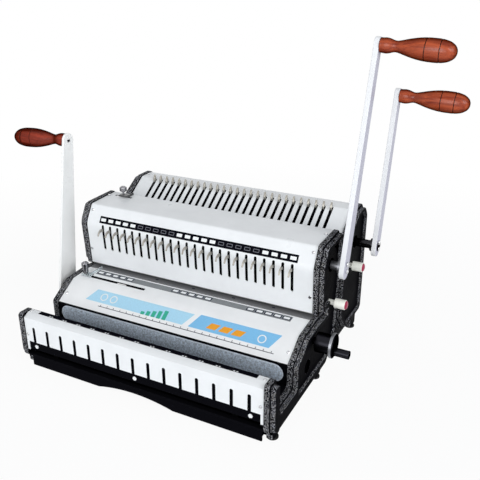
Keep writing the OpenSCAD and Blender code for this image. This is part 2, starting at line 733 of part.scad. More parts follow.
// Two racks that the closing lever's shaft pushes; a slanted slot in each drives the bar
module closing_slides() {
  low = pin_z - close_drop - pin_r - run - head_wall;
  high = pin_z + pin_r + run + head_wall;
  head_front = bar_back + run;
  head_back = pin_y + pin_r + run + head_wall;
  rack = rack_beside(closer_axis, pinion_m, -90, slide_t);
  rack_front = closer_shaft_y - (rack_high + 1) * PI * pinion_m;
  color("#7c7f84") placed() both_sides() difference() {
    union() {
      box([drive_x - drive_w / 2, head_front, low], [drive_x + drive_w / 2, head_back, high]);
      box([drive_x - drive_w / 2, head_back - eps, slide_top - slide_t],
        [drive_x + drive_w / 2, rack_front + 0.01, high]);
      plate_x(drive_x - drive_w / 2, drive_x + drive_w / 2, rack);
    }
    slanted_slot();
  }
}
module slanted_slot() {
  lean = atan(close_drop / slide_travel);
  reach = norm([close_drop, slide_travel]);
  x0 = drive_x - drive_w / 2 - eps;
  x1 = drive_x + drive_w / 2 + eps;
  r = pin_r + run;
  end = [pin_y, pin_z] - reach * [cos(lean), sin(lean)];
  side = r * [-sin(lean), cos(lean)];
  plate_x(x0, x1, [end - side, [pin_y, pin_z] - side, [pin_y, pin_z] + side, end + side]);
  rod_x(end, r, x0, x1);
  rod_x([pin_y, pin_z], r, x0, x1);
}

// Lever shaft with two pinions cut on it and a flange at its lever end
flange_r = 10;
flange_t = 4;
module lever_shaft(axis, x_end, lever_end) {
  rod_x(axis, shaft_r, x_end, lever_end);
  rod_x(axis, flange_r, lever_end - flange_t, lever_end);
  both_sides() translate([0, axis[0], axis[1]]) plate_x(drive_x - drive_w / 2 - 1, drive_x + drive_w / 2 + 1,
    gear_points(pinion_m));
}
bolt_r = 2;
bolt_gap = 5.5;
bolt_head_r = 3.6;
bolt_head_t = 2.5;
module bolt_holes(axis, x0, x1) {
  for (s = [-1, 1]) rod_x(axis + [0, s * bolt_gap], bolt_r + seat, x0, x1);
}
module closer_shaft() {
  lever_end = xo + left_out;
  arm_x = drive_x + 26;
  color("#8d9094") placed() difference() {
    union() {
      mirror([1, 0, 0]) lever_shaft(closer_axis, -(xo - dish_d), lever_end);
      plate_x(arm_x, arm_x + 6, [for (p = [[0, -6], [20, -4], [20, 4], [0, 6]])
        closer_axis + [cos(-50) * p[0] - sin(-50) * p[1], sin(-50) * p[0] + cos(-50) * p[1]]]);
    }
    mirror([1, 0, 0]) bolt_holes(closer_axis, lever_end - flange_t - eps, lever_end + eps);
  }
}
module front_shaft() {
  lever_end = xo + front_out;
  color("#2a2b2e") placed() difference() {
    lever_shaft(front_axis, -(xo - dish_d), lever_end);
    bolt_holes(front_axis, lever_end - flange_t - eps, lever_end + eps);
  }
}
module rear_shaft() {
  lever_end = xo + rear_out;
  color("#2a2b2e") placed() difference() {
    lever_shaft(rear_axis, -(xo - dish_d), lever_end);
    bolt_holes(rear_axis, lever_end - flange_t - eps, lever_end + eps);
  }
}

// Pair of hook gears on a shaft, one tooth pointing at the rack
module hook_gears(axis, a) {
  both_sides() difference() {
    translate([0, axis[0], axis[1]]) along_x(gear_x, gear_x + gear_w) rotate(a) polygon(gear_points(gear_m));
    rod_x(axis, shaft_r + seat, gear_x - eps, gear_x + gear_w + eps);
  }
}
module front_gears() {
  color("#8d9094") placed() hook_gears(front_axis, 180);
}
module rear_gears() {
  color("#8d9094") placed() hook_gears(rear_axis, 90 + panel_a);
}

// Rod on a grip's drooping axis, from a to b beyond the lever's outer face at x
module grip_rod(tip, x, r, a, b) {
  translate([x, tip[0], tip[1]]) rotate([0, 90 + grip_droop, 0]) translate([0, 0, a])
    cylinder(r = r, h = b - a);
}
grip_bolt_r = 3;
grip_bolt_in = 0.7;
grip_head_r = 4.5;
grip_head_t = 3;
grip_head_sunk = 0.4;
grip_base = 1;

// Tapered flat lever from x0 to x1 with round ends, the grip's bolt sunk in its inner face
module lever_arm(axis, len, lean, w0, w1, tail, head, x0, x1) {
  d = [sin(lean), cos(lean)];
  n = left_of(d);
  tip = axis + len * d;
  low = axis - tail * d;
  top = tip + head * d;
  difference() {
    union() {
      plate_x(x0, x1, [low + n * w0 / 2, low - n * w0 / 2, top - n * w1 / 2, top + n * w1 / 2]);
      rod_x(low, w0 / 2, x0, x1);
      rod_x(top, w1 / 2, x0, x1);
    }
    bolt_holes(axis, x0 - eps, x1 + eps);
    grip_rod(tip, x1, grip_bolt_r + seat, x0 - x1 - 1, 1);
    grip_rod(tip, x1, grip_head_r + seat, x0 - x1 - 1, x0 - x1 + grip_head_t);
  }
}
lever_foot_w = 23;
lever_tip_w = 16;
lever_tail = 5.5;
lever_head = 3;
left_foot_w = 40;
left_tip_w = 22;
left_tail = 5;
function tip_of(axis, len, lean) = axis + len * [sin(lean), cos(lean)];
module left_lever() {
  color("#e4e5e9") placed() mirror([1, 0, 0])
    lever_arm(closer_axis, left_len, left_lean, left_foot_w, left_tip_w, left_tail, 0, xo + left_out,
      xo + left_out + left_lever_t);
}
module front_lever() {
  color("#e4e5e9") placed()
    lever_arm(front_axis, front_len, front_lean, lever_foot_w, lever_tip_w, lever_tail, lever_head,
      xo + front_out, xo + front_out + lever_t);
}
module rear_lever() {
  color("#e4e5e9") placed()
    lever_arm(rear_axis, rear_len, rear_lean, lever_foot_w, lever_tip_w, lever_tail, lever_head,
      xo + rear_out, xo + rear_out + lever_t);
}

// Turned wooden grip from x0 outwards, on the lever's tip
grip_shape = [[0, 0.58], [0.03, 0.64], [0.085, 0.665], [0.13, 0.62], [0.17, 0.535], [0.21, 0.485],
  [0.26, 0.53], [0.385, 0.75], [0.5, 0.905], [0.61, 0.985], [0.72, 1], [0.8, 0.975], [0.87, 0.89],
  [0.91, 0.8], [0.95, 0.645], [0.975, 0.5], [0.995, 0.26], [1, 0.15]];
module turned_grip(tip, x0, l) {
  difference() {
    translate([x0, tip[0], tip[1]]) rotate([0, 90 + grip_droop, 0]) rotate_extrude()
      polygon(concat([[0, -grip_base], [grip_shape[0][1] * grip_r, -grip_base]],
        [for (p = grip_shape) [p[1] * grip_r, p[0] * l]], [[0, l]]));
    box([x0 - grip_r, tip[0] - grip_r, tip[1] - grip_r], [x0, tip[0] + grip_r, tip[1] + grip_r]);
    grip_rod(tip, x0, grip_bolt_r + seat, -grip_base, grip_bolt_in * grip_l);
  }
}
module left_grip() {
  color("#6b2c1a") placed() mirror([1, 0, 0])
    turned_grip(tip_of(closer_axis, left_len, left_lean), xo + left_out + left_lever_t, left_grip_l);
}
module front_grip() {
  color("#6b2c1a") placed()
    turned_grip(tip_of(front_axis, front_len, front_lean), xo + front_out + lever_t, grip_l);
}
module rear_grip() {
  color("#6b2c1a") placed()
    turned_grip(tip_of(rear_axis, rear_len, rear_lean), xo + rear_out + lever_t, grip_l);
}

// Two bolts that hold the lever on its shaft and the bolt that carries the grip
module lever_bolts(axis, tip, x0, t) {
  for (s = [-1, 1]) let (c = axis + [0, s * bolt_gap]) {
    rod_x(c, bolt_r, x0 - flange_t, x0 + t);
    rod_x(c, bolt_head_r, x0 + t, x0 + t + bolt_head_t);
  }
  grip_rod(tip, x0 + t, grip_bolt_r, grip_head_t - t - eps, grip_bolt_in * grip_l - eps);
  grip_rod(tip, x0 + t, grip_head_r, grip_head_sunk - t, grip_head_t - t);
}
module left_lever_bolts() {
  color("#c9ccd1") placed() mirror([1, 0, 0])
    lever_bolts(closer_axis, tip_of(closer_axis, left_len, left_lean), xo + left_out, left_lever_t);
}
module front_lever_bolts() {
  color("#c9ccd1") placed()
    lever_bolts(front_axis, tip_of(front_axis, front_len, front_lean), xo + front_out, lever_t);
}
module rear_lever_bolts() {
  color("#c9ccd1") placed()
    lever_bolts(rear_axis, tip_of(rear_axis, rear_len, rear_lean), xo + rear_out, lever_t);
}

// First unit: bar with two racks behind it, punches below it
module front_punch_bar() {
  half = drive_x + 24;
  color("#5b5e63") placed() {
    box([-half, bar_front_y, punch_bar_z], [half, bar_rear_y, punch_bar_z + 26]);
    both_sides() {
      box([drive_x - drive_w / 2, bar_front_y, punch_bar_z], [drive_x + drive_w / 2, bar_rear_y,
        front_shaft_z + (rack_high + 1) * PI * pinion_m]);
      plate_x(drive_x - drive_w / 2, drive_x + drive_w / 2,
        rack_beside(front_axis, pinion_m, 180, bar_rear_y - bar_front_y));
    }
  }
}
module front_punch_pins() {
  color("#b9bcc0") placed() for (i = [0:front_count - 1]) let (x = row(i, front_count, front_pitch))
    box([x - hole_l / 2, front_pin_y - hole_w / 2, guide_z + 0.6],
      [x + hole_l / 2, front_pin_y + hole_w / 2, punch_bar_z]);
}

// Row of hooks on one bar; racks at its ends run on the hook gears
hook_t = 2.2;
finger_t = 3.2;
hook_shape = [[5, -4.5], [5, 3.5], [-1, 5.5], [-7.5, 6], [-12.5, 3], [-15, -3], [-13.6, -3.8],
  [-10.5, 0.8], [-6.5, 1.8], [-1, 0]];
module front_hook_rack() {
  y0 = hook_bar_y;
  gear_face = front_shaft_y - gear_r;
  color("#c3c2bd") placed() {
    box([-xi + 6, y0, hook_z - 18], [xi - 6, y0 + hook_bar_t, hook_z + 7]);
    for (i = [0:front_count - 1]) let (x = row(i, front_count, front_pitch))
      plate_x(x - hook_t / 2, x + hook_t / 2, [for (p = hook_shape) [y0 - 5 + p[0] + 0.5, hook_z + p[1]]]);
    both_sides() {
      box([gear_x, y0 + hook_bar_t - 0.5, hook_z - 12],
        [gear_x + gear_w, gear_face - 1.25 * gear_m, hook_z + 5]);
      plate_x(gear_x, gear_x + gear_w, rack_beside(front_axis, gear_m, 180, 6));
    }
  }
}

// Rear unit: bar pushed forward by racks that lie over the shaft
module rear_punch_bar() {
  half = drive_x + 24;
  rack_z = rear_shaft_z + pinion_r + 1.25 * pinion_m;
  color("#5b5e63") placed() {
    box([-half, rear_bar_y, rear_hole_z - 6], [half, rear_bar_y + rear_bar_t, rack_z + 8]);
    both_sides() {
      box([drive_x - drive_w / 2, rear_bar_y, rack_z], [drive_x + drive_w / 2,
        rear_shaft_y + (rack_high + 1) * PI * pinion_m, rack_z + 8]);
      plate_x(drive_x - drive_w / 2, drive_x + drive_w / 2, rack_beside(rear_axis, pinion_m, 90, 5));
    }
  }
}
module rear_punch_pins() {
  color("#b9bcc0") placed() for (i = [0:rear_count - 1])
    rod_y(row(i, rear_count, rear_pitch), rear_hole_z, rear_hole_r, rear_guide_front + 0.6, rear_bar_y);
}

// Row of pointed fingers on one bar that slides down the slope
finger_shape = [[-1, -5], [-1, 0.5], [-3, 4.5], [-8, 8], [-12, 8.5], [-9.5, 4], [-7, 0], [-7, -5]];
module rear_hook_rack() {
  top = panel_n - sheet_t - 2.5;
  color("#c3c2bd") placed() {
    plate_x(-xi + 6, xi - 6, [for (p = [[12, 0], [12, -4], [-9, -4], [-9, 0]])
      on_slope(finger_u + p[0], top + p[1])]);
    for (i = [0:rear_count - 1]) let (x = row(i, rear_count, rear_pitch))
      plate_x(x - finger_t / 2, x + finger_t / 2, [for (p = finger_shape)
        on_slope(finger_u + p[0], top + 4 + p[1])]);
    both_sides() {
      plate_x(gear_x, gear_x + gear_w, [for (p = [[11, -3], [11, -14], [-6, -14], [-6, -3]])
        on_slope(finger_u + p[0], top + p[1])]);
      plate_x(gear_x, gear_x + gear_w, rack_beside(rear_axis, gear_m, 90 + panel_a, 6.5));
    }
  }
}

// Dial that sets the closing gap: shaft, stop disc, drum, flange and crank stub
drum_x = xo + run;
drum_r = dial_r - 3.5;
dial_end = drum_x + dial_l;
plate_t = 1;
crank_r = 6;
crank_off = 9;
module gap_dial() {
  stop_x0 = drive_x + 26;
  color("#1b1c1f") placed() {
    rod_x(dial_axis, dial_shaft_r, stop_x0 - 4, drum_x);
    rod_x(dial_axis + [0, 3], 11, stop_x0, stop_x0 + 6);
    rod_x(dial_axis, drum_r, drum_x, dial_end - 4);
    rod_x(dial_axis, dial_r, dial_end - 4, dial_end);
    rod_x(dial_axis - [0, crank_off], crank_r, dial_end, dial_end + crank_l);
  }
}
module dial_plate() {
  color("#c9ccd1") placed() difference() {
    rod_x(dial_axis, dial_r - 2, dial_end, dial_end + plate_t);
    rod_x(dial_axis - [0, crank_off], crank_r + seat, dial_end - eps, dial_end + plate_t + eps);
  }
}

// Margin stop: rod with eccentric discs, white barrel knob and red end cap
module margin_knob(axis, lift) {
  rod_x(axis, rod_r, -(xo - dish_d), xo + knob_gap);
  rod_x(axis, knob_r, xo + knob_gap, xo + knob_gap + knob_l);
  for (x = stop_x) rod_x(axis + lift, stop_r, x - stop_w / 2, x + stop_w / 2);
}
module knob_cap(axis) {
  cap_t = 3;
  translate([xo + knob_gap + knob_l, axis[0], axis[1]]) rotate([0, 90, 0]) rotate_extrude()
    polygon(concat([[0, 0]], [for (a = [0:15:75]) [(knob_r - 0.8) * cos(a), cap_t * sin(a)]], [[0, cap_t]]));
}
module front_margin_knob() {
  color("#ece8df") placed() margin_knob(front_margin, [0, stop_off]);
}
module front_margin_cap() {
  color("#b0123c") placed() knob_cap(front_margin);
}
module rear_margin_knob() {
  color("#ece8df") placed() margin_knob(rear_margin, [0, -stop_off]);
}
module rear_margin_cap() {
  color("#b0123c") placed() knob_cap(rear_margin);
}

// Sliding paper stops: foot on the cover, stem in its slot, upright fence
screw_r = 6;
stem_r = 1.6;
guide_foot_t = 2.6;
module edge_guide(x, y, z, fence_y, fence_z, fence_h) {
  difference() {
    union() {
      box([x - 6, y - 5, z + run], [x + 12, y + 5, z + run + guide_foot_t]);
      box([x + 10.5, y - 5, fence_z], [x + 12, fence_y, fence_z + fence_h]);
    }
    rod_z(x, y, stem_r + fit, z - eps, z + 5);
  }
}
module guide_screw(x, y, z, hold, neck, head) {
  rod_z(x, y, stem_r, z - hold, z + neck);
  rod_z(x, y, screw_r, z + neck, z + neck + head);
  rod_z(x, y, screw_r - 2, z + neck + head, z + neck + head + 1.5);
  rod_z(x, y, screw_r - 1, z - hold - 2, z - hold);
}
front_guide_z = table_at(guide_slot_y + 5);
front_fence_y = throat_y - 4;
module front_edge_guide() {
  color("#d8e4ea") placed() edge_guide(front_guide_x, guide_slot_y, front_guide_z, front_fence_y,
    table_at(front_fence_y) + scale_t + run, 4);
}
module front_guide_screw() {
  color("#c9ccd1") placed() guide_screw(front_guide_x, guide_slot_y, front_guide_z, sheet_t + 1.6, 5, 17);
}
module rear_edge_guide() {
  color("#d8e4ea") placed() edge_guide(rear_guide_x, rear_guide_y, hood_z, hood_end - 2, hood_z + run, 4);
}
module rear_guide_screw() {
  color("#c9ccd1") placed() guide_screw(rear_guide_x, rear_guide_y, hood_z, sheet_t + 2.2, 9, 7);
}

left_frame();
right_frame();
rear_left_frame();
rear_right_frame();
foot_pads();
base_rails();
tie_rods();
shaft_bushes();
closer_cover();
closer_scale();
closer_anvil();
trough_sheet();
front_panel();
front_inlay();
table_cover();
table_scale();
front_die();
front_punch_guide();
hood();
hood_strip();
rear_die();
rear_punch_guide();
rear_hood();
back_cover();
cover_screws();
chip_drawer();
closing_bar();
closing_bar_screws();
closing_slides();
closer_shaft();
left_lever();
left_grip();
left_lever_bolts();
front_shaft();
front_gears();
front_lever();
front_grip();
front_lever_bolts();
front_punch_bar();
front_punch_pins();
front_hook_rack();
rear_shaft();
rear_gears();
rear_lever();
rear_grip();
rear_lever_bolts();
rear_punch_bar();
rear_punch_pins();
rear_hook_rack();
gap_dial();
dial_plate();
front_margin_knob();
front_margin_cap();
rear_margin_knob();
rear_margin_cap();
front_edge_guide();
front_guide_screw();
rear_edge_guide();
rear_guide_screw();
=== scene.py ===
"""Dresses the wire binding machine: finishes, turned and rounded pieces, camera and studio."""

import logging
import math
from dataclasses import dataclass
from enum import Enum
from typing import Callable, Dict, List, Optional, Sequence, Tuple, Union

import bmesh
import bpy
from mathutils import Matrix, Vector


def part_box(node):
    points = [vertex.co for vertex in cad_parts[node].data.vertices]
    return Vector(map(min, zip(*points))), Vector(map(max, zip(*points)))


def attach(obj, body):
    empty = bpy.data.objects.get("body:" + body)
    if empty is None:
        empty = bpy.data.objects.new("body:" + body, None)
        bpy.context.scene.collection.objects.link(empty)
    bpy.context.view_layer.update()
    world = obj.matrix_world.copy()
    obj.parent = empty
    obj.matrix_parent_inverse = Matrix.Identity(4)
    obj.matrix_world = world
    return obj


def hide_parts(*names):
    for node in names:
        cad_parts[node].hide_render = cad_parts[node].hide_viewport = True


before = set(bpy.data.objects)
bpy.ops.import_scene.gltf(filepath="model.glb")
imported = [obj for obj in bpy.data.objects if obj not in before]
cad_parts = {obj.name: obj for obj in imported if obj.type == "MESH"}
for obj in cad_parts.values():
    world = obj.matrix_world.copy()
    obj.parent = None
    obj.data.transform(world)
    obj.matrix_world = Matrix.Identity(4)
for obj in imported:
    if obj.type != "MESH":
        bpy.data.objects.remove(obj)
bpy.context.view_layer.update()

LOG = logging.getLogger("binding_machine")

Tree = bpy.types.NodeTree
Node = bpy.types.Node
Socket = bpy.types.NodeSocket
Sockets = bpy.types.bpy_prop_collection
Shape = bmesh.types.BMesh
Colour = Tuple[float, float, float]
Point = Tuple[float, float, float]
Pair = Tuple[float, float]
Value = Union[float, Tuple[float, ...], Socket]

# Lengths are millimetres. A slope has a foot and a rise, each as depth and height.
MM = 0.001
MID_X = 7.00411
MID_Y = 188.41785
FRONT_SLOTS = 24
FRONT_PITCH = 14.2875
CLOSER_PITCH = 25.4
SHOULDER_FOOT = (156.5, 182.0)
SHOULDER_RISE = (16.5, 27.5)
TABLE_FOOT = (112.0, 101.0)
TABLE_RISE = (41.5, 2.65)
SLOPE_FOOT = (74.0, 77.0)
SLOPE_RISE = (38.0, 24.0)
FLAT = (1.0, 0.0)
UPRIGHT = (0.0, 1.0)
CAD_MERGE = 0.002
MERGE = 0.001
PAD_CORNER = 0.8
PAD_STEPS = 32
# INSIDE_REACH and NO_WALLS, with the area and looks below, pick the faces that take painted shade inside the
# covers and their slots.
INSIDE_REACH = 186.0
NO_WALLS = math.inf

# An area is square millimetres, an angle radians and a look the cosine of a face's turn from an axis.
WALL_AREA = 150.0
FLAT_ANGLE = 0.005
WALL_LOOK = -0.95
INSIDE_LOOK = 0.3


def spot(x: float, y: float, z: float) -> Vector:
    """Turns millimetres from the slots' middle, the closer's front and the desk into the frame's metres."""
    return Vector((x - MID_X, y - MID_Y, z)) * MM


class Side(Enum):
    """The end of the machine that a lever stands at."""

    LEFT = -1
    RIGHT = 1


# Shader helpers


def fill(tree: Tree, socket: Socket, value: Value) -> None:
    """Links an input to an output socket, or sets it to a number, a vector or a colour.

    Args:
        tree: node tree that holds the input.
        socket: the input.
        value: number, tuple or output socket.
    """
    if isinstance(value, Socket):
        tree.links.new(value, socket)
    elif isinstance(value, tuple) and len(value) == 3 and socket.type == "RGBA":
        socket.default_value = (*value, 1.0)
    else:
        socket.default_value = value


def add_node(tree: Tree, kind: str, inputs: Optional[dict] = None, **settings: object) -> Node:
    """Adds a shader node, sets its options and fills or links its inputs.

    Args:
        tree: node tree that takes the node.
        kind: node type without its common first part.
        inputs: values or output sockets by input name or number.
        settings: attributes of the node.

    Returns:
        The new node.
    """
    made = tree.nodes.new("ShaderNode" + kind)
    for key, value in settings.items():
        setattr(made, key, value)
    for key, value in (inputs or {}).items():
        fill(tree, made.inputs[key], value)
    return made


def feed(tree: Tree, shader: Node, **sources: Value) -> None:
    """Sets or links inputs of a shader; underscores in names stand for spaces."""
    for key, value in sources.items():
        fill(tree, shader.inputs[key.replace("_", " ")], value)


def math_node(tree: Tree, operation: str, *values: Value, clamp: bool = False) -> Socket:
    """Adds a math node with its values, numbers or sockets, in order and returns its output."""
    made = add_node(tree, "Math", dict(enumerate(values)), operation=operation, use_clamp=clamp)
    return made.outputs[0]


def mix_colour(tree: Tree, factor: Value, first: Value, second: Value) -> Socket:
    """Adds a mix with the first colour at factor 0 and the second at 1, and returns its output."""
    return add_node(tree, "Mix", {0: factor, 6: first, 7: second}, data_type="RGBA").outputs[2]


def ramp(tree: Tree, source: Socket, start: float, end: float, low: Value = 0.0, high: Value = 1.0) -> Socket:
    """Maps the range from start to end to the one from low to high and returns the output."""
    ends = {"From Min": start, "From Max": end, "To Min": low, "To Max": high}
    return add_node(tree, "MapRange", {"Value": source, **ends}).outputs[0]


def spread(tree: Tree, mask: Socket, low: float = 0.0, high: float = 1.0) -> Socket:
    """Maps the middle of a mask of noise to a range and returns the output."""
    return ramp(tree, mask, 0.3, 0.7, low, high)


def here(tree: Tree) -> Socket:
    """Returns the object's own coordinates."""
    return add_node(tree, "TexCoord").outputs["Object"]


def stretched(tree: Tree, scale: Point) -> Socket:
    """Returns the object's own coordinates, scaled along each axis."""
    return add_node(tree, "Mapping", {"Vector": here(tree), "Scale": scale}).outputs[0]


def noise(tree: Tree, place: Socket, scale: Value, detail: float, **more: float) -> Socket:
    """Adds a noise texture and returns its mask."""
    inputs = {"Vector": place, "Scale": scale, "Detail": detail, **more}
    return add_node(tree, "TexNoise", inputs).outputs["Fac"]


def facing(tree: Tree, axis: str) -> Socket:
    """Returns how far a surface looks along an axis."""
    normal = add_node(tree, "NewGeometry").outputs["Normal"]
    return add_node(tree, "SeparateXYZ", {"Vector": normal}).outputs[axis]


def bump(tree: Tree, height: Socket, strength: float, depth: float) -> Socket:
    """Adds a bump of some strength, and of a depth in metres, and returns its normal."""
    return add_node(tree, "Bump", {"Height": height, "Strength": strength, "Distance": depth}).outputs[0]


def cleared(owner: Union[bpy.types.Material, bpy.types.World]) -> Tree:
    """Turns on the nodes of a material or world and empties them.

    Args:
        owner: the material or world.

    Returns:
        Its node tree.
    """
    owner.use_nodes = True
    owner.node_tree.nodes.clear()
    return owner.node_tree


@dataclass
class Effect:
    """A shader group that several finishes share, built on first use."""

    name: str
    inputs: Dict[str, float]
    outputs: Sequence[str]
    graph: Callable[[Tree, Sockets], Sequence[Socket]]
    group: Optional[Tree] = None

    def use(self, tree: Tree, **values: float) -> Sockets:
        """Places the group in a material.

        Args:
            tree: the material's node tree.
            values: the group's inputs in this material.

        Returns:
            The outputs of the group's node.
        """
        if self.group is None:
            self.group = self._built()
        return add_node(tree, "Group", values, node_tree=self.group).outputs

    def _built(self) -> Tree:
        """Builds the group with its sockets.

        Returns:
            The group.
        """
        tree = bpy.data.node_groups.new(self.name, "ShaderNodeTree")
        for label, value in self.inputs.items():
            socket = tree.interface.new_socket(label, in_out="INPUT", socket_type="NodeSocketFloat")
            socket.default_value = value
        for label in self.outputs:
            tree.interface.new_socket(label, in_out="OUTPUT", socket_type="NodeSocketFloat")
        given = tree.nodes.new("NodeGroupInput").outputs
        end = tree.nodes.new("NodeGroupOutput")
        for label, result in zip(self.outputs, self.graph(tree, given)):
            tree.links.new(result, end.inputs[label])
        return tree


def grain_graph(tree: Tree, given: Sockets) -> Sequence[Socket]:
    """Fine and coarse mottling of a painted or moulded surface.

    Args:
        tree: the group.
        given: the group's inputs.

    Returns:
        Masks of the fine grain and of the coarse clouds.
    """
    place = here(tree)
    coarse = math_node(tree, "DIVIDE", given["Scale"], 24.0)
    return noise(tree, place, given["Scale"], 3.0), noise(tree, place, coarse, 4.0, Roughness=0.6)


def speckle_graph(tree: Tree, given: Sockets) -> Sequence[Socket]:
    """Scattered bright flecks with a dimpled height between them.

    Args:
        tree: the group.
        given: the group's inputs.

    Returns:
        Mask of the flecks and height of the dimples.
    """
    place = here(tree)
    cells = add_node(tree, "TexVoronoi", {"Vector": place, "Scale": given["Scale"]}).outputs
    pick = add_node(tree, "SeparateColor", {"Color": cells["Color"]}).outputs[0]
    chosen = math_node(tree, "LESS_THAN", pick, given["Share"])
    core = ramp(tree, cells["Distance"], 0.25, 0.5, 1.0, 0.0)
    broad = math_node(tree, "MULTIPLY", given["Scale"], 0.45)
    dimple = add_node(tree, "TexVoronoi", {"Vector": place, "Scale": broad}, feature="SMOOTH_F1")
    return math_node(tree, "MULTIPLY", chosen, core), dimple.outputs["Distance"]


def edge_wear_graph(tree: Tree, given: Sockets) -> Sequence[Socket]:
    """Convex and concave edges, broken up by noise.

    Args:
        tree: the group.
        given: the group's inputs.

    Returns:
        Mask of the worn edges.
    """
    rounded = add_node(tree, "Bevel", {"Radius": given["Radius"]}, samples=4).outputs[0]
    normal = add_node(tree, "NewGeometry").outputs["Normal"]
    dot = add_node(tree, "VectorMath", {0: rounded, 1: normal}, operation="DOT_PRODUCT")
    turn = ramp(tree, dot.outputs["Value"], 0.995, 0.9)
    broken = ramp(tree, noise(tree, here(tree), 220.0, 4.0), 0.4, 0.7)
    both = math_node(tree, "MULTIPLY", turn, broken)
    return (math_node(tree, "MULTIPLY", both, given["Amount"], clamp=True),)


def dust_graph(tree: Tree, given: Sockets) -> Sequence[Socket]:
    """Dust on faces that look up.

    Args:
        tree: the group.
        given: the group's inputs.

    Returns:
        Mask of the dust.
    """
    up = ramp(tree, facing(tree, "Z"), 0.3, 1.0)
    both = math_node(tree, "MULTIPLY", up, noise(tree, here(tree), 35.0, 5.0))
    return (math_node(tree, "MULTIPLY", both, given["Amount"], clamp=True),)


def painted_side_shade_graph(tree: Tree, given: Sockets) -> Sequence[Socket]:
    """A mask of painted shade that fades on faces that look to the left or right."""
    side_shade = math_node(tree, "ABSOLUTE", facing(tree, "X"))
    return (ramp(tree, side_shade, 0.5, 0.95, 1.0, given["Least"]),)


GRAIN = Effect("grain", {"Scale": 400.0}, ("Fine", "Cloud"), grain_graph)
SPECKLE = Effect("speckle", {"Scale": 900.0, "Share": 0.3}, ("Fleck", "Dimple"), speckle_graph)
EDGE_WEAR = Effect("edge_wear", {"Radius": 0.0008, "Amount": 1.0}, ("Mask",), edge_wear_graph)
DUST = Effect("dust", {"Amount": 0.2}, ("Mask",), dust_graph)
# Painted shade on the side faces of the levers and the frames.
PAINTED_SIDE_SHADE = Effect("painted_side_shade", {"Least": 0.1}, ("Mask",), painted_side_shade_graph)

MADE: Dict[str, bpy.types.Material] = {}


def scaled(colour: Colour, factor: float) -> Colour:
    """Returns a colour times a factor."""
    return tuple(factor * channel for channel in colour)


@dataclass(frozen=True)
class Finish:
    """A surface finish; subclasses fill in the shader."""

    name: str

    def material(self) -> bpy.types.Material:
        """Builds the finish's material on first use.

        Returns:
            The material.
        """
        if self.name not in MADE:
            MADE[self.name] = bpy.data.materials.new(self.name + "_finish")
            tree = cleared(MADE[self.name])
            shader = add_node(tree, "BsdfPrincipled")
            add_node(tree, "OutputMaterial", {0: shader.outputs[0]})
            self.shade(tree, shader)
        return MADE[self.name]

    def shade(self, tree: Tree, shader: Node) -> None:
        """Fills the shader."""
        raise NotImplementedError


@dataclass(frozen=True)
class Enamel(Finish):
    """Sprayed paint with a slight orange peel, worn edges and a little dust, and painted shade on the side
    faces where a side colour is given.
    """

    colour: Colour
    worn: Colour
    rough: float = 0.32
    peel: float = 0.25
    wear: float = 0.35
    dusty: float = 0.12
    gloss: float = 0.5
    coat: float = 0.15
    # Colour of the painted shade on faces that look left or right, or none.
    side_shade: Optional[Colour] = None
    dust: Colour = (0.6, 0.6, 0.58)

    def shade(self, tree: Tree, shader: Node) -> None:
        """Fills the shader with paint, with painted shade on the side faces where a side colour is given.

        Args:
            tree: the material's node tree.
            shader: the shader.
        """
        grain = GRAIN.use(tree, Scale=520.0)
        base = mix_colour(tree, spread(tree, grain["Cloud"]), self.colour, scaled(self.colour, 0.93))
        # Painted shade: faces that look to the left or right take the side colour.
        if self.side_shade:
            base = mix_colour(tree, PAINTED_SIDE_SHADE.use(tree, Least=0.0)["Mask"], self.side_shade, base)
        worn = EDGE_WEAR.use(tree, Radius=0.0007, Amount=self.wear)["Mask"]
        base = mix_colour(tree, worn, base, self.worn)
        base = mix_colour(tree, DUST.use(tree, Amount=self.dusty)["Mask"], base, self.dust)
        feed(tree, shader, Base_Color=base, Specular_IOR_Level=self.gloss,
             Coat_Weight=self.coat, Coat_Roughness=0.15,
             Roughness=spread(tree, grain["Cloud"], self.rough - 0.05, self.rough + 0.08),
             Normal=bump(tree, grain["Fine"], self.peel, 0.00006))


@dataclass(frozen=True)
class HammerCast(Finish):
    """Cast iron in black hammer paint with speckle; its flecks and bright worn edges are partly a painted
    highlight on the beads, and they fade on the side faces as painted shade.
    """

    dark: Colour
    fleck_and_highlight: Colour
    gold: Colour
    share: float

    def shade(self, tree: Tree, shader: Node) -> None:
        """Fills the shader with speckled paint, a painted highlight on the beads and painted shade on the
        sides.

        Args:
            tree: the material's node tree.
            shader: the shader.
        """
        specks = SPECKLE.use(tree, Scale=1080.0, Share=self.share)
        grain = GRAIN.use(tree, Scale=300.0)
        worn = EDGE_WEAR.use(tree, Radius=0.0012, Amount=0.5)["Mask"]
        # Painted shade: flecks and bright edges fade on faces that look to the left or right.
        side_shade_mask = PAINTED_SIDE_SHADE.use(tree, Least=0.004)["Mask"]
        tint = mix_colour(tree, spread(tree, grain["Fine"]), self.fleck_and_highlight, self.gold)
        base = mix_colour(tree, math_node(tree, "MULTIPLY", specks["Fleck"], side_shade_mask), self.dark, tint)
        # Worn edges lighten to the fleck colour: partly wear, partly a painted highlight on the beads.
        base = mix_colour(tree, math_node(tree, "MULTIPLY", worn, side_shade_mask), base, self.fleck_and_highlight)
        feed(tree, shader, Base_Color=base, Specular_IOR_Level=0.002,
             Roughness=spread(tree, grain["Cloud"], 0.28, 0.46),
             Normal=bump(tree, specks["Dimple"], 0.7, 0.0005))


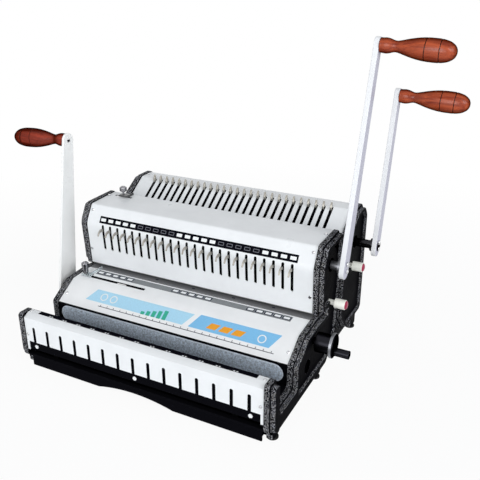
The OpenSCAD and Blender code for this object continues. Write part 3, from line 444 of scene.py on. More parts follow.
@dataclass(frozen=True)
class BareMetal(Finish):
    """Ground or plated metal with fine streaks along one axis."""

    colour: Colour
    rough: float
    along: int = 0
    metal: float = 1.0
    worn: float = 0.6
    rim: float = 1.0
    bright: Colour = (0.82, 0.82, 0.82)
    streak_long: float = 60.0
    streak_fine: float = 1400.0

    def shade(self, tree: Tree, shader: Node) -> None:
        """Fills the shader with streaked metal.

        Args:
            tree: the material's node tree.
            shader: the shader.
        """
        scale = [self.streak_fine] * 3
        scale[self.along] = self.streak_long
        streaks = noise(tree, stretched(tree, tuple(scale)), 1.0, 4.0)
        grain = GRAIN.use(tree, Scale=260.0)
        worn = EDGE_WEAR.use(tree, Radius=0.0005, Amount=self.worn)["Mask"]
        base = mix_colour(tree, spread(tree, streaks), scaled(self.colour, 0.72), self.colour)
        base = mix_colour(tree, worn, base, self.bright)
        feed(tree, shader, Base_Color=base, Metallic=self.metal, Specular_Tint=(self.rim,) * 3,
             Roughness=spread(tree, grain["Cloud"], self.rough - 0.06, self.rough + 0.1),
             Normal=bump(tree, streaks, 0.2, 0.00004))


@dataclass(frozen=True)
class LacquerWood(Finish):
    """Stained hardwood under clear lacquer, grain along the grip, with painted shade towards its outline."""

    dark: Colour
    light: Colour
    figure: Point = (14.0, 190.0, 190.0)
    pores: Point = (70.0, 1500.0, 1500.0)

    def shade(self, tree: Tree, shader: Node) -> None:
        """Fills the shader with stained wood and a painted shade that darkens it where it turns away.

        Args:
            tree: the material's node tree.
            shader: the shader.
        """
        figure = noise(tree, stretched(tree, self.figure), 1.0, 6.0, Distortion=0.6)
        pore = noise(tree, stretched(tree, self.pores), 1.0, 2.0)
        cloud = GRAIN.use(tree, Scale=400.0)["Cloud"]
        worn = EDGE_WEAR.use(tree, Radius=0.002, Amount=0.35)["Mask"]
        # Painted shade: the wood darkens towards its outline, where it turns away.
        turning = add_node(tree, "LayerWeight", {"Blend": 0.5}).outputs["Facing"]
        away = ramp(tree, turning, 0.2, 0.72, 0.0, 0.96)
        base = mix_colour(tree, spread(tree, figure), self.dark, self.light)
        base = mix_colour(tree, spread(tree, pore, 0.35, 0.0), base, scaled(self.dark, 0.4))
        base = mix_colour(tree, worn, base, self.light)
        base = mix_colour(tree, away, base, scaled(self.dark, 0.08))
        feed(tree, shader, Base_Color=base, Roughness=spread(tree, cloud, 0.24, 0.36),
             Specular_IOR_Level=ramp(tree, turning, 0.05, 0.45, 0.34, 0.0),
             Normal=bump(tree, pore, 0.12, 0.0001))


@dataclass(frozen=True)
class Moulded(Finish):
    """Moulded plastic, rubber or printed film with a fine texture."""

    colour: Colour
    rough: float
    texture: float = 0.2
    scale: float = 900.0
    contrast: float = 0.12
    gloss: float = 0.4

    def shade(self, tree: Tree, shader: Node) -> None:
        """Fills the shader with moulded plastic.

        Args:
            tree: the material's node tree.
            shader: the shader.
        """
        grain = GRAIN.use(tree, Scale=self.scale)
        worn = EDGE_WEAR.use(tree, Radius=0.0006, Amount=0.25)["Mask"]
        lift = 1 + 2 * self.contrast
        lighter = tuple(min(1.0, c * lift + 0.02 * self.contrast) for c in self.colour)
        rubbed = tuple(min(1.0, 1.2 * c + 0.03) for c in self.colour)
        base = mix_colour(tree, spread(tree, grain["Fine"]), scaled(self.colour, 1 - self.contrast), lighter)
        base = mix_colour(tree, worn, base, rubbed)
        feed(tree, shader, Base_Color=base, Specular_IOR_Level=self.gloss,
             Roughness=spread(tree, grain["Cloud"], self.rough - 0.06, self.rough + 0.06),
             Normal=bump(tree, grain["Fine"], self.texture, 0.0001))


@dataclass(frozen=True)
class ClearSheet(Finish):
    """Clear acrylic with a cool edge."""

    colour: Colour
    edge: Colour = (0.95, 0.97, 0.98)

    def shade(self, tree: Tree, shader: Node) -> None:
        """Fills the shader with clear plastic.

        Args:
            tree: the material's node tree.
            shader: the shader.
        """
        cloud = GRAIN.use(tree, Scale=300.0)["Cloud"]
        base = mix_colour(tree, spread(tree, cloud, 0.0, 0.3), self.colour, self.edge)
        feed(tree, shader, Base_Color=base, Roughness=spread(tree, cloud, 0.05, 0.14),
             Transmission_Weight=0.85, IOR=1.49)


class Finishes:
    """Every finish that the machine uses."""

    COVER = Enamel("cover_enamel", (0.86, 0.885, 0.905), (0.7, 0.71, 0.72))
    # A brighter copy of the cover enamel: painted light on the table, which the hood shades.
    TABLE_PAINTED_LIGHT = Enamel("table_enamel_painted_light", (0.95, 0.965, 0.98), (0.62, 0.64, 0.66))
    # A brighter copy of the lever enamel: painted light on the left lever, which gets less light than the
    # right ones.
    LEVER_PAINTED_LIGHT = Enamel("lever_painted_light", (0.96, 0.97, 0.965), (0.6, 0.6, 0.62), rough=0.3)
    # Lever enamel with painted shade on its side faces, where less light falls.
    LEVER = Enamel("lever_enamel", (0.86, 0.875, 0.90), (0.6, 0.6, 0.62),
                   gloss=0.12, coat=0.0, side_shade=(0.52, 0.52, 0.61))
    BLACK = Enamel("black_enamel", (0.003, 0.003, 0.0045), (0.05, 0.05, 0.06),
                   rough=0.42, dusty=0.003, gloss=0.006, coat=0.0)
    # Its bright flecks are also a painted highlight on the beads.
    CAST = HammerCast("hammer_cast", (0.0016, 0.0016, 0.0026), (0.80, 0.83, 0.94), (0.56, 0.54, 0.50),
                      share=0.66)
    STEEL = BareMetal("oiled_steel", (0.018, 0.018, 0.02), 0.4, worn=0.05, rim=0.0)
    DIE = BareMetal("die_steel", (0.25, 0.255, 0.265), 0.45, metal=0.15)
    SHAFT = BareMetal("blackened_steel", (0.034, 0.034, 0.038), 0.2, worn=0.1, rim=0.0)
    HOOK = BareMetal("plated_hooks", (0.46, 0.44, 0.395), 0.28, along=1)
    BRIGHT = BareMetal("bright_screws", (0.7, 0.71, 0.73), 0.22, along=2)
    KNURL = BareMetal("knurled_steel", (0.3, 0.3, 0.32), 0.2, along=2)
    # Painted shade: black for the insides of the covers, the walls of their slots and the parts of hooks
    # within them.
    INSIDE_SHADE = Moulded("inside_painted_shade", (0.003, 0.003, 0.004), 0.7, gloss=0.03)
    WOOD_RING = LacquerWood("scribed_ring", (0.03, 0.006, 0.003), (0.07, 0.013, 0.006))
    WOOD_DARK = LacquerWood("stained_grip_dark", (0.13, 0.012, 0.005), (0.37, 0.046, 0.02))
    WOOD = LacquerWood("stained_grip", (0.2, 0.022, 0.007), (0.54, 0.1, 0.032))
    INLAY = Moulded("inlay_film", (0.45, 0.52, 0.61), 0.55, texture=0.5, scale=420.0, contrast=0.32)
    # A painted highlight along the inlay's edge.
    INLAY_EDGE_HIGHLIGHT = Moulded("inlay_edge", (0.66, 0.7, 0.76), 0.45)
    STRIP_DARK = Moulded("strip_black", (0.003, 0.003, 0.006), 0.45, gloss=0.0)
    STRIP_GREY = Moulded("strip_grey", (0.2, 0.215, 0.225), 0.5)
    PRINT_WHITE = Moulded("print_white", (0.82, 0.84, 0.85), 0.5, contrast=0.04)
    PRINT_GREY = Moulded("print_grey", (0.12, 0.125, 0.15), 0.5)
    PALE_BLUE = Moulded("label_pale_blue", (0.40, 0.68, 0.86), 0.42, contrast=0.05)
    MID_BLUE = Moulded("label_blue", (0.20, 0.50, 0.79), 0.42, contrast=0.05)
    ORANGE = Moulded("label_orange", (0.82, 0.34, 0.02), 0.42, contrast=0.05)
    GREEN = Moulded("label_green", (0.03, 0.39, 0.27), 0.42, contrast=0.05)
    NAVY = Moulded("label_navy", (0.012, 0.018, 0.04), 0.45, contrast=0.05, gloss=0.1)
    DIAL = BareMetal("dial_black", (0.022, 0.022, 0.027), 0.22, worn=0.05, rim=0.0)
    SILVER = BareMetal("dial_silver", (0.34, 0.35, 0.38), 0.34, along=2)
    KNOB = Moulded("knob_ivory", (0.92, 0.925, 0.86), 0.35, texture=0.08, contrast=0.04)
    RED = Moulded("cap_red", (0.3, 0.008, 0.05), 0.3, texture=0.06, contrast=0.05)
    RUBBER = Moulded("pad_rubber", (0.012, 0.012, 0.012), 0.75, texture=0.5, gloss=0.2)
    CLEAR = ClearSheet("guide_clear", (0.82, 0.9, 0.93))
    # A dark copy of the clear sheet for the rear guide: painted shade, so the slot under it reads dark.
    CLEAR_PAINTED_SHADE = ClearSheet("guide_clear_painted_shade", (0.02, 0.02, 0.024))


# Mesh helpers


def shape_of(node: str) -> Shape:
    """Copies a CAD node and merges its loose triangles.

    Args:
        node: name of the CAD node.

    Returns:
        A bmesh of joined faces.
    """
    shape = bmesh.new()
    shape.from_mesh(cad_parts[node].data)
    bmesh.ops.remove_doubles(shape, verts=shape.verts, dist=CAD_MERGE * MM)
    flat = [edge for edge in shape.edges if edge.is_manifold and edge.calc_face_angle(1.0) < FLAT_ANGLE]
    bmesh.ops.beautify_fill(shape, faces=shape.faces, edges=flat, method="ANGLE")
    return shape


def shade_under(shape: Shape, point: Vector, out: Vector) -> Shape:
    """Cuts a shape along a plane and gives the faces under it the second finish, used for painted shade.

    Args:
        shape: bmesh that is cut.
        point: a point on the plane.
        out: direction that stays in the first finish.

    Returns:
        The same bmesh.
    """
    everything = [*shape.verts, *shape.edges, *shape.faces]
    bmesh.ops.bisect_plane(shape, geom=everything, dist=MERGE * MM, plane_co=point, plane_no=out)
    for face in shape.faces:
        face.material_index = int((face.calc_center_median() - point).dot(out) < 0)
    return shape


def shade_inside(shape: Shape, back: float, walls: float) -> Shape:
    """Gives the inside of a sheet and the walls of its slots the second finish, a black of painted shade.

    Args:
        shape: bmesh of a bent sheet.
        back: depth in metres; in front of it the inside looks down or back, behind it to the front.
        walls: height in millimetres above which small faces that look to the front are walls of a slot.

    Returns:
        The same bmesh.
    """
    toward = Vector((0, -1, 1)).normalized()
    for face in shape.faces:
        middle = face.calc_center_median()
        small = face.calc_area() < WALL_AREA * MM * MM
        wall = face.normal.y < WALL_LOOK and small and middle.z > walls * MM
        if middle.y < back:
            hidden = face.normal.dot(toward) < INSIDE_LOOK
        else:
            hidden = face.normal.y < -INSIDE_LOOK
        inner = hidden and abs(middle.x + MID_X * MM) < INSIDE_REACH * MM
        face.material_index = int(inner or wall)
    return shape


def turned(profile: Sequence[Pair], centre: Vector, axis: Vector, steps: int) -> Shape:
    """Spins a profile about an axis.

    Args:
        profile: distance along the axis and radius of each point, in millimetres.
        centre: where the axis starts, in metres.
        axis: direction of the axis.
        steps: number of steps round the axis.

    Returns:
        A closed bmesh.
    """
    shape = bmesh.new()
    out = axis.orthogonal().normalized()
    line = [shape.verts.new(centre + axis * (along * MM) + out * (radius * MM)) for along, radius in profile]
    edges = [shape.edges.new(pair) for pair in zip(line, line[1:])]
    bmesh.ops.spin(shape, geom=line + edges, cent=centre, axis=axis, dvec=Vector((0, 0, 0)),
                   angle=2 * math.pi, steps=steps, use_merge=True, use_normal_flip=False,
                   use_duplicate=False)
    bmesh.ops.remove_doubles(shape, verts=shape.verts, dist=MERGE * MM)
    bmesh.ops.recalc_face_normals(shape, faces=shape.faces)
    return shape


def raised(shape: Shape, by: Vector) -> Shape:
    """Extrudes a flat shape into a closed one.

    Args:
        shape: bmesh of a flat face.
        by: direction and height of the extrusion.

    Returns:
        The same bmesh.
    """
    grown = bmesh.ops.extrude_face_region(shape, geom=shape.faces[:])
    moved = [item for item in grown["geom"] if isinstance(item, bmesh.types.BMVert)]
    bmesh.ops.translate(shape, verts=moved, vec=by)
    bmesh.ops.recalc_face_normals(shape, faces=shape.faces)
    return shape


def merged(shapes: Sequence[Shape]) -> Shape:
    """Joins several shapes.

    Args:
        shapes: the shapes; all but the first are freed.

    Returns:
        The first shape, which holds them all.
    """
    for other in shapes[1:]:
        scratch = bpy.data.meshes.new("scratch")
        other.to_mesh(scratch)
        shapes[0].from_mesh(scratch)
        other.free()
        bpy.data.meshes.remove(scratch)
    return shapes[0]


def smooth_profile(points: Sequence[Pair], steps: int) -> List[Pair]:
    """Runs a smooth curve through profile points.

    Args:
        points: control points of the profile.
        steps: pieces between two control points.

    Returns:
        The finer profile.
    """
    fine: List[Pair] = []
    padded = [points[0], *points, points[-1]]
    for a, b, c, d in zip(padded, padded[1:], padded[2:], padded[3:]):
        for step in range(steps):
            t = step / steps
            fine.append(tuple(
                0.5 * (2 * b[k] + (c[k] - a[k]) * t + (2 * a[k] - 5 * b[k] + 4 * c[k] - d[k]) * t * t
                       + (3 * b[k] - a[k] - 3 * c[k] + d[k]) * t ** 3) for k in (0, 1)))
    fine.append(tuple(points[-1]))
    return [(along, max(0.0, radius)) for along, radius in fine]


def pad(length: float, width: float, thick: float, place: Matrix, round_ends: bool = False,
        slant: float = 0.0, hollow: float = 0.0) -> Shape:
    """Makes a thin printed pad with rounded corners, or with half-round ends.

    Args:
        length: size along the place's first axis, in millimetres.
        width: size along its second axis.
        thick: height along its third axis.
        place: where the pad lies.
        round_ends: whether the ends are half circles.
        slant: how far the far edge is pushed along the first axis.
        hollow: width of the outline, where only an outline is printed.

    Returns:
        A closed bmesh.
    """
    shape = bmesh.new()
    if round_ends:
        radius = width / 2
        bmesh.ops.create_circle(shape, cap_ends=True, segments=PAD_STEPS, radius=radius)
        bmesh.ops.rotate(shape, verts=shape.verts, matrix=Matrix.Rotation(math.pi / PAD_STEPS, 3, "Z"))
        for vert in shape.verts:
            vert.co.x += math.copysign(length / 2 - radius, vert.co.x)
    else:
        bmesh.ops.create_grid(shape, x_segments=1, y_segments=1, size=0.5)
        for vert in shape.verts:
            vert.co.x = vert.co.x * length + vert.co.y * slant
            vert.co.y *= width
        corner = min(PAD_CORNER, 0.2 * width)
        bmesh.ops.bevel(shape, geom=shape.verts[:], offset=corner, segments=3, profile=0.5,
                        affect="VERTICES", material=-1)
    if hollow:
        inner = shape.faces[:]
        bmesh.ops.inset_region(shape, faces=inner, thickness=hollow, use_boundary=True, use_even_offset=True)
        bmesh.ops.delete(shape, geom=inner, context="FACES_ONLY")
    raised(shape, Vector((0, 0, thick)))
    bmesh.ops.transform(shape, matrix=place @ Matrix.Scale(MM, 4), verts=shape.verts)
    return shape


def slope_place(x: float, y: float, z: float, rise: Pair) -> Matrix:
    """Gives a place on a surface that runs along x and up a slope.

    Args:
        x: place along the machine's width, in millimetres.
        y: depth of the place.
        z: height of the place.
        rise: rise of the slope as depth and height.

    Returns:
        A matrix whose axes lie along the width, up the slope and out of it.
    """
    up = Vector((0, *rise)).normalized()
    side = Vector((1, 0, 0))
    turn = Matrix((side, up, side.cross(up))).transposed().to_4x4()
    return Matrix.Translation(spot(x, y, z)) @ turn


def on_slope(x: float, up: float, out: float, foot: Pair, rise: Pair) -> Matrix:
    """Gives a place at some distance up a slope and out of it.

    Args:
        x: place along the machine's width, in millimetres.
        up: distance up the slope.
        out: distance out of it.
        foot: depth and height of the slope's foot.
        rise: rise of the slope as depth and height.

    Returns:
        A matrix whose axes lie along the width, up the slope and out of it.
    """
    length = math.hypot(*rise)
    y = foot[0] + (up * rise[0] - out * rise[1]) / length
    z = foot[1] + (up * rise[1] + out * rise[0]) / length
    return slope_place(x, y, z, rise)


@dataclass(frozen=True)
class Round:
    """How far and how finely a piece's edges are rounded, from what angle on."""

    width: float
    segments: int = 2
    angle: float = 32.0

    def apply(self, piece: bpy.types.Object) -> None:
        """Gives a piece a live bevel of this size.

        Args:
            piece: the piece.
        """
        rounding = piece.modifiers.new("rounding", "BEVEL")
        rounding.width = self.width * MM
        rounding.segments = self.segments
        rounding.profile = 0.5
        rounding.limit_method = "ANGLE"
        rounding.angle_limit = math.radians(self.angle)
        rounding.use_clamp_overlap = False
        rounding.loop_slide = False
        rounding.harden_normals = True


def make_piece(name: str, shape: Shape, finish: Finish, body: str, nodes: Sequence[str] = (),
               edge: Optional[Round] = None, smooth: float = 35.0, inside: Optional[Finish] = None) -> None:
    """Turns a shape into a finished piece that rides on a body.

    Args:
        name: the piece's name.
        shape: bmesh of the piece, freed here.
        finish: surface finish.
        body: CAD body that carries the piece.
        nodes: CAD nodes that the piece stands for.
        edge: rounding of its edges, or none.
        smooth: angle in degrees under which faces shade as one.
        inside: finish of the faces marked with the second material, or none.
    """
    for face in shape.faces:
        face.smooth = True
    for line in shape.edges:
        line.smooth = line.is_manifold and line.calc_face_angle(0.0) < math.radians(smooth)
    mesh = bpy.data.meshes.new(name)
    shape.to_mesh(mesh)
    shape.free()
    piece = bpy.data.objects.new(name, mesh)
    bpy.context.scene.collection.objects.link(piece)
    mesh.materials.append(finish.material())
    if inside:
        mesh.materials.append(inside.material())
    if edge:
        edge.apply(piece)
    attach(piece, body)
    if nodes:
        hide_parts(*nodes)
    LOG.info("%s: %d faces on %s", name, len(mesh.polygons), body)


def dress(node: str, finish: Finish) -> None:
    """Gives a CAD node that keeps its own shape a finish.

    Args:
        node: name of the CAD node.
        finish: surface finish.
    """
    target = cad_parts[node].data
    target.materials.clear()
    target.materials.append(finish.material())
    LOG.info("%s: dressed as %s", node, finish.name)


def soften(node: str, finish: Finish, body: str, edge: Round) -> None:
    """Makes a rounded piece in the shape of a CAD node."""
    make_piece(node + "_finished", shape_of(node), finish, body, [node], edge)


# Sub-assemblies


@dataclass
class Castings:
    """The four side frames with their beaded rims, and the pads below them."""

    bead: Round = Round(1.3, 3, 40.0)
    pad_edge: Round = Round(0.8, 3)

    def build(self) -> None:
        """Rounds the beaded rims of every frame and the foot pads."""
        for node in ("left_frame", "right_frame", "rear_left_frame", "rear_right_frame"):
            soften(node, Finishes.CAST, "body", self.bead)
        soften("foot_pads", Finishes.RUBBER, "body", self.pad_edge)


@dataclass
class Covers:
    """White sheet metal covers, the black sheets and their screws."""

    sheet_edge: Round = Round(0.35)
    bar_edge: Round = Round(0.6)
    bar_screw_edge: Round = Round(0.35, 3)
    screw_edge: Round = Round(0.5, 3)
    inlay_edge: Round = Round(0.4, 3)
    # A lighter outline round the inlay: a painted highlight on its rounded edge.
    rim: Point = (380.2, 26.2, 0.1)
    inlay_highlight_at: Point = (0.0, 72.4, 60.0)
    inlay_highlight_line: float = 0.9
    # A black outline round the table's guide slot: painted shade.
    painted_slot_shade: Point = (119.4, 5.4, 0.05)
    painted_slot_shade_at: Point = (-128.0, 128.0, 102.04)
    painted_slot_shade_line: float = 0.7
    button_x: float = 190.5
    hood_button: Pair = (168.0, 201.2)
    slope_button: Pair = (88.5, 86.16)
    button: Sequence[Pair] = (
        (-0.3, 0), (-0.3, 2.4), (0.3, 2.4), (0.9, 1.9), (1.2, 1.2), (0.7, 0.9), (0.7, 0))

    def build(self) -> None:
        """Makes the covers, the black sheets, the inlay and the screw heads."""
        self._covers()
        for node in ("trough_sheet", "front_panel", "closer_anvil"):
            soften(node, Finishes.BLACK, "body", self.sheet_edge)
        soften("chip_drawer", Finishes.BLACK, "drawer", self.bar_edge)
        soften("closing_bar", Finishes.BLACK, "closing_bar", self.bar_edge)
        soften("closing_bar_screws", Finishes.PRINT_WHITE, "closing_bar", self.bar_screw_edge)
        soften("cover_screws", Finishes.BRIGHT, "body", self.screw_edge)
        soften("front_inlay", Finishes.INLAY, "body", self.inlay_edge)
        # Painted highlight: a light outline round the inlay's edge.
        rim = pad(*self.rim, slope_place(*self.inlay_highlight_at, UPRIGHT), True, hollow=self.inlay_highlight_line)
        make_piece("inlay_rim_painted_highlight", rim, Finishes.INLAY_EDGE_HIGHLIGHT, "body")
        # Painted shade: a black outline round the edges of the guide slot.
        painted_slot_shade = pad(*self.painted_slot_shade, slope_place(*self.painted_slot_shade_at, TABLE_RISE), hollow=self.painted_slot_shade_line)
        make_piece("guide_slot_painted_shade", painted_slot_shade, Finishes.INSIDE_SHADE, "body")
        self._buttons()

    def _covers(self) -> None:
        """Rounds the white covers and paints their insides and slot walls black as painted shade; the table's
        edges stay as they are.
        """
        rows = (
            ("closer_cover", Finishes.COVER, self.sheet_edge, 60.0, NO_WALLS),
            ("table_cover", Finishes.TABLE_PAINTED_LIGHT, None, 200.0, 95.0),
            ("hood", Finishes.COVER, self.sheet_edge, 224.0, 210.5),
            ("rear_hood", Finishes.COVER, self.sheet_edge, 334.0, NO_WALLS),
            ("back_cover", Finishes.COVER, self.sheet_edge, MID_Y, NO_WALLS),
        )
        for node, finish, edge, back, walls in rows:
            shape = shade_inside(shape_of(node), spot(0, back, 0).y, walls)
            make_piece(node + "_finished", shape, finish, "body", [node], edge,
                       inside=Finishes.INSIDE_SHADE)

    def _buttons(self) -> None:
        """Turns the button heads at the ends of the hood's shoulder and of the table's slope."""
        shapes = []
        for x in (-self.button_x, self.button_x):
            for place, rise in ((self.hood_button, SHOULDER_RISE), (self.slope_button, SLOPE_RISE)):
                out = Vector((0, -rise[1], rise[0])).normalized()
                shapes.append(turned(self.button, spot(x, *place), out, steps=16))
        make_piece("slope_buttons", merged(shapes), Finishes.BRIGHT, "body")


@dataclass
class Strips:
    """Printed strips: cells above the slots, cells before the throat and ticks on the closer."""

    print_t: float = 0.08
    strip_edge: Round = Round(0.15)
    scale_edge: Round = Round(0.4)
    hood_up: float = 8.95
    hood_out: float = 0.52
    hood_cell: Pair = (9.4, 5.0)
    ring_line: float = 0.9
    table_mid: float = 144.0
    table_out: float = 0.62
    table_cell: Pair = (9.2, 5.2)
    border: Pair = (3.6, 3.4)
    group: int = 5
    table_groups: Sequence[int] = (0, 10, 19)
    tick: Pair = (2.4, 1.8)
    tick_at: Pair = (12.9, 89.6)
    tick_shifts: Pair = (-4.0, 0.4)
    tick_slots: Sequence[int] = range(-6, 7)
    mark: Pair = (5.0, 2.4)
    mark_at: Pair = (163.0, 104.0)
    marks: Sequence[float] = (-68.5, -1.0, 68.9, 134.8)

    @staticmethod
    def _slot_x(index: int) -> float:
        """Returns the place of a slot of the hood along the width."""
        return (index - (FRONT_SLOTS - 1) / 2) * FRONT_PITCH

    def _on_hood(self, index: int) -> Matrix:
        """Returns the place of a cell on the hood's shoulder."""
        return on_slope(self._slot_x(index), self.hood_up, self.hood_out, SHOULDER_FOOT, SHOULDER_RISE)

    def _on_table(self, index: int, layer: int) -> Matrix:
        """Gives the place of a cell on the table's strip.

        Args:
            index: number of the slot that the cell belongs to.
            layer: layer of print, from 0 on the strip.

        Returns:
            A matrix whose axes lie along the width, up the table and out of it.
        """
        top = TABLE_FOOT[1] + TABLE_RISE[1] / TABLE_RISE[0] * (self.table_mid - TABLE_FOOT[0])
        z = top + self.table_out + layer * self.print_t
        return slope_place(self._slot_x(index), self.table_mid, z, TABLE_RISE)

    def build(self) -> None:
        """Makes the strips and their print."""
        soften("hood_strip", Finishes.STRIP_DARK, "body", self.strip_edge)
        soften("table_scale", Finishes.STRIP_GREY, "body", self.strip_edge)
        soften("closer_scale", Finishes.STRIP_DARK, "body", self.scale_edge)
        for name, finish, odd, line in (
                ("hood_cells", Finishes.PRINT_WHITE, 0, 0.0),
                ("hood_cell_rings", Finishes.PRINT_GREY, 1, self.ring_line)):
            chosen = [index for index in range(FRONT_SLOTS) if index // self.group % 2 == odd]
            pads = [pad(*self.hood_cell, self.print_t, self._on_hood(index), hollow=line) for index in chosen]
            make_piece(name, merged(pads), finish, "body")
        self._table_cells()
        self._ticks()
        self._throat_marks()

    def _table_cells(self) -> None:
        """Prints white cells with dark borders in three groups along the table's strip."""
        chosen = [first + step for first in self.table_groups for step in range(self.group)]
        length, width = self.table_cell
        border = (length + self.border[0], width + self.border[1])
        for layer, (name, size, finish) in enumerate((
                ("table_cell_borders", border, Finishes.NAVY),
                ("table_cells", self.table_cell, Finishes.PRINT_WHITE))):
            pads = [pad(*size, self.print_t, self._on_table(index, layer)) for index in chosen]
            make_piece(name, merged(pads), finish, "body")

    def _ticks(self) -> None:
        """Prints a pair of small ticks at each slot of the closer."""
        places = [index * CLOSER_PITCH + shift for index in self.tick_slots for shift in self.tick_shifts]
        pads = [pad(*self.tick, self.print_t, slope_place(x, *self.tick_at, FLAT)) for x in places]
        make_piece("closer_ticks", merged(pads), Finishes.PRINT_WHITE, "body")

    def _throat_marks(self) -> None:
        """Prints four dark marks on the die in the throat."""
        pads = [pad(*self.mark, self.print_t, slope_place(x, *self.mark_at, FLAT)) for x in self.marks]
        make_piece("throat_marks", merged(pads), Finishes.NAVY, "body")


@dataclass
class Label:
    """Plain coloured label on the table's slope: two slanted bands, rising bars, chips and a ruled line."""

    thick: float = 0.06
    gap: float = 0.02
    band_slant: float = 12.0
    chip_slant: float = 6.0
    rings: Sequence[float] = (-122, -104, 148)
    ring_line: float = 1.6

    def _pad(self, size: Pair, x: float, up: float, layer: int = 0, **options: float) -> Shape:
        """Makes a pad of some size on the slope.

        Args:
            size: length and width in millimetres.
            x: place along the machine's width.
            up: distance up the slope.
            layer: layer of print, from 0 on the paint.
            options: further options of a pad.

        Returns:
            A closed bmesh.
        """
        place = on_slope(x, up, self.gap + layer * self.thick, SLOPE_FOOT, SLOPE_RISE)
        return pad(*size, self.thick, place, **options)

    def build(self) -> None:
        """Prints the bands, bars, chips and lines."""
        pale = self._pad((176, 21), x=-58, up=26, slant=self.band_slant)
        blue = self._pad((128, 23), x=104, up=27, slant=self.band_slant)
        bars = [self._pad((6.5, 5.0 + 2.6 * step), x=-46 + 9.4 * step, up=17.5 + 1.3 * step, layer=1)
                for step in range(5)]
        chips = [self._pad((15, 9.5), x=72 + 20 * step, up=25, layer=1, slant=self.chip_slant)
                 for step in range(3)]
        rings = [self._pad((13, 13), x=x, up=26, layer=1, round_ends=True, hollow=self.ring_line)
                 for x in self.rings]
        rule = self._pad((296, 1.0), x=24, up=9.4)
        ticks = [self._pad((0.9, 3.2), x=-120 + 12 * step, up=11.2) for step in range(25)]
        rows = (
            ("label_band_pale", Finishes.PALE_BLUE, [pale]),
            ("label_band_blue", Finishes.MID_BLUE, [blue]),
            ("label_bars_green", Finishes.GREEN, bars),
            ("label_chips_orange", Finishes.ORANGE, chips),
            ("label_rings", Finishes.PRINT_WHITE, rings),
            ("label_lines", Finishes.NAVY, [rule, *ticks]),
        )
        for name, finish, pads in rows:
            make_piece(name, merged(pads), finish, "body")


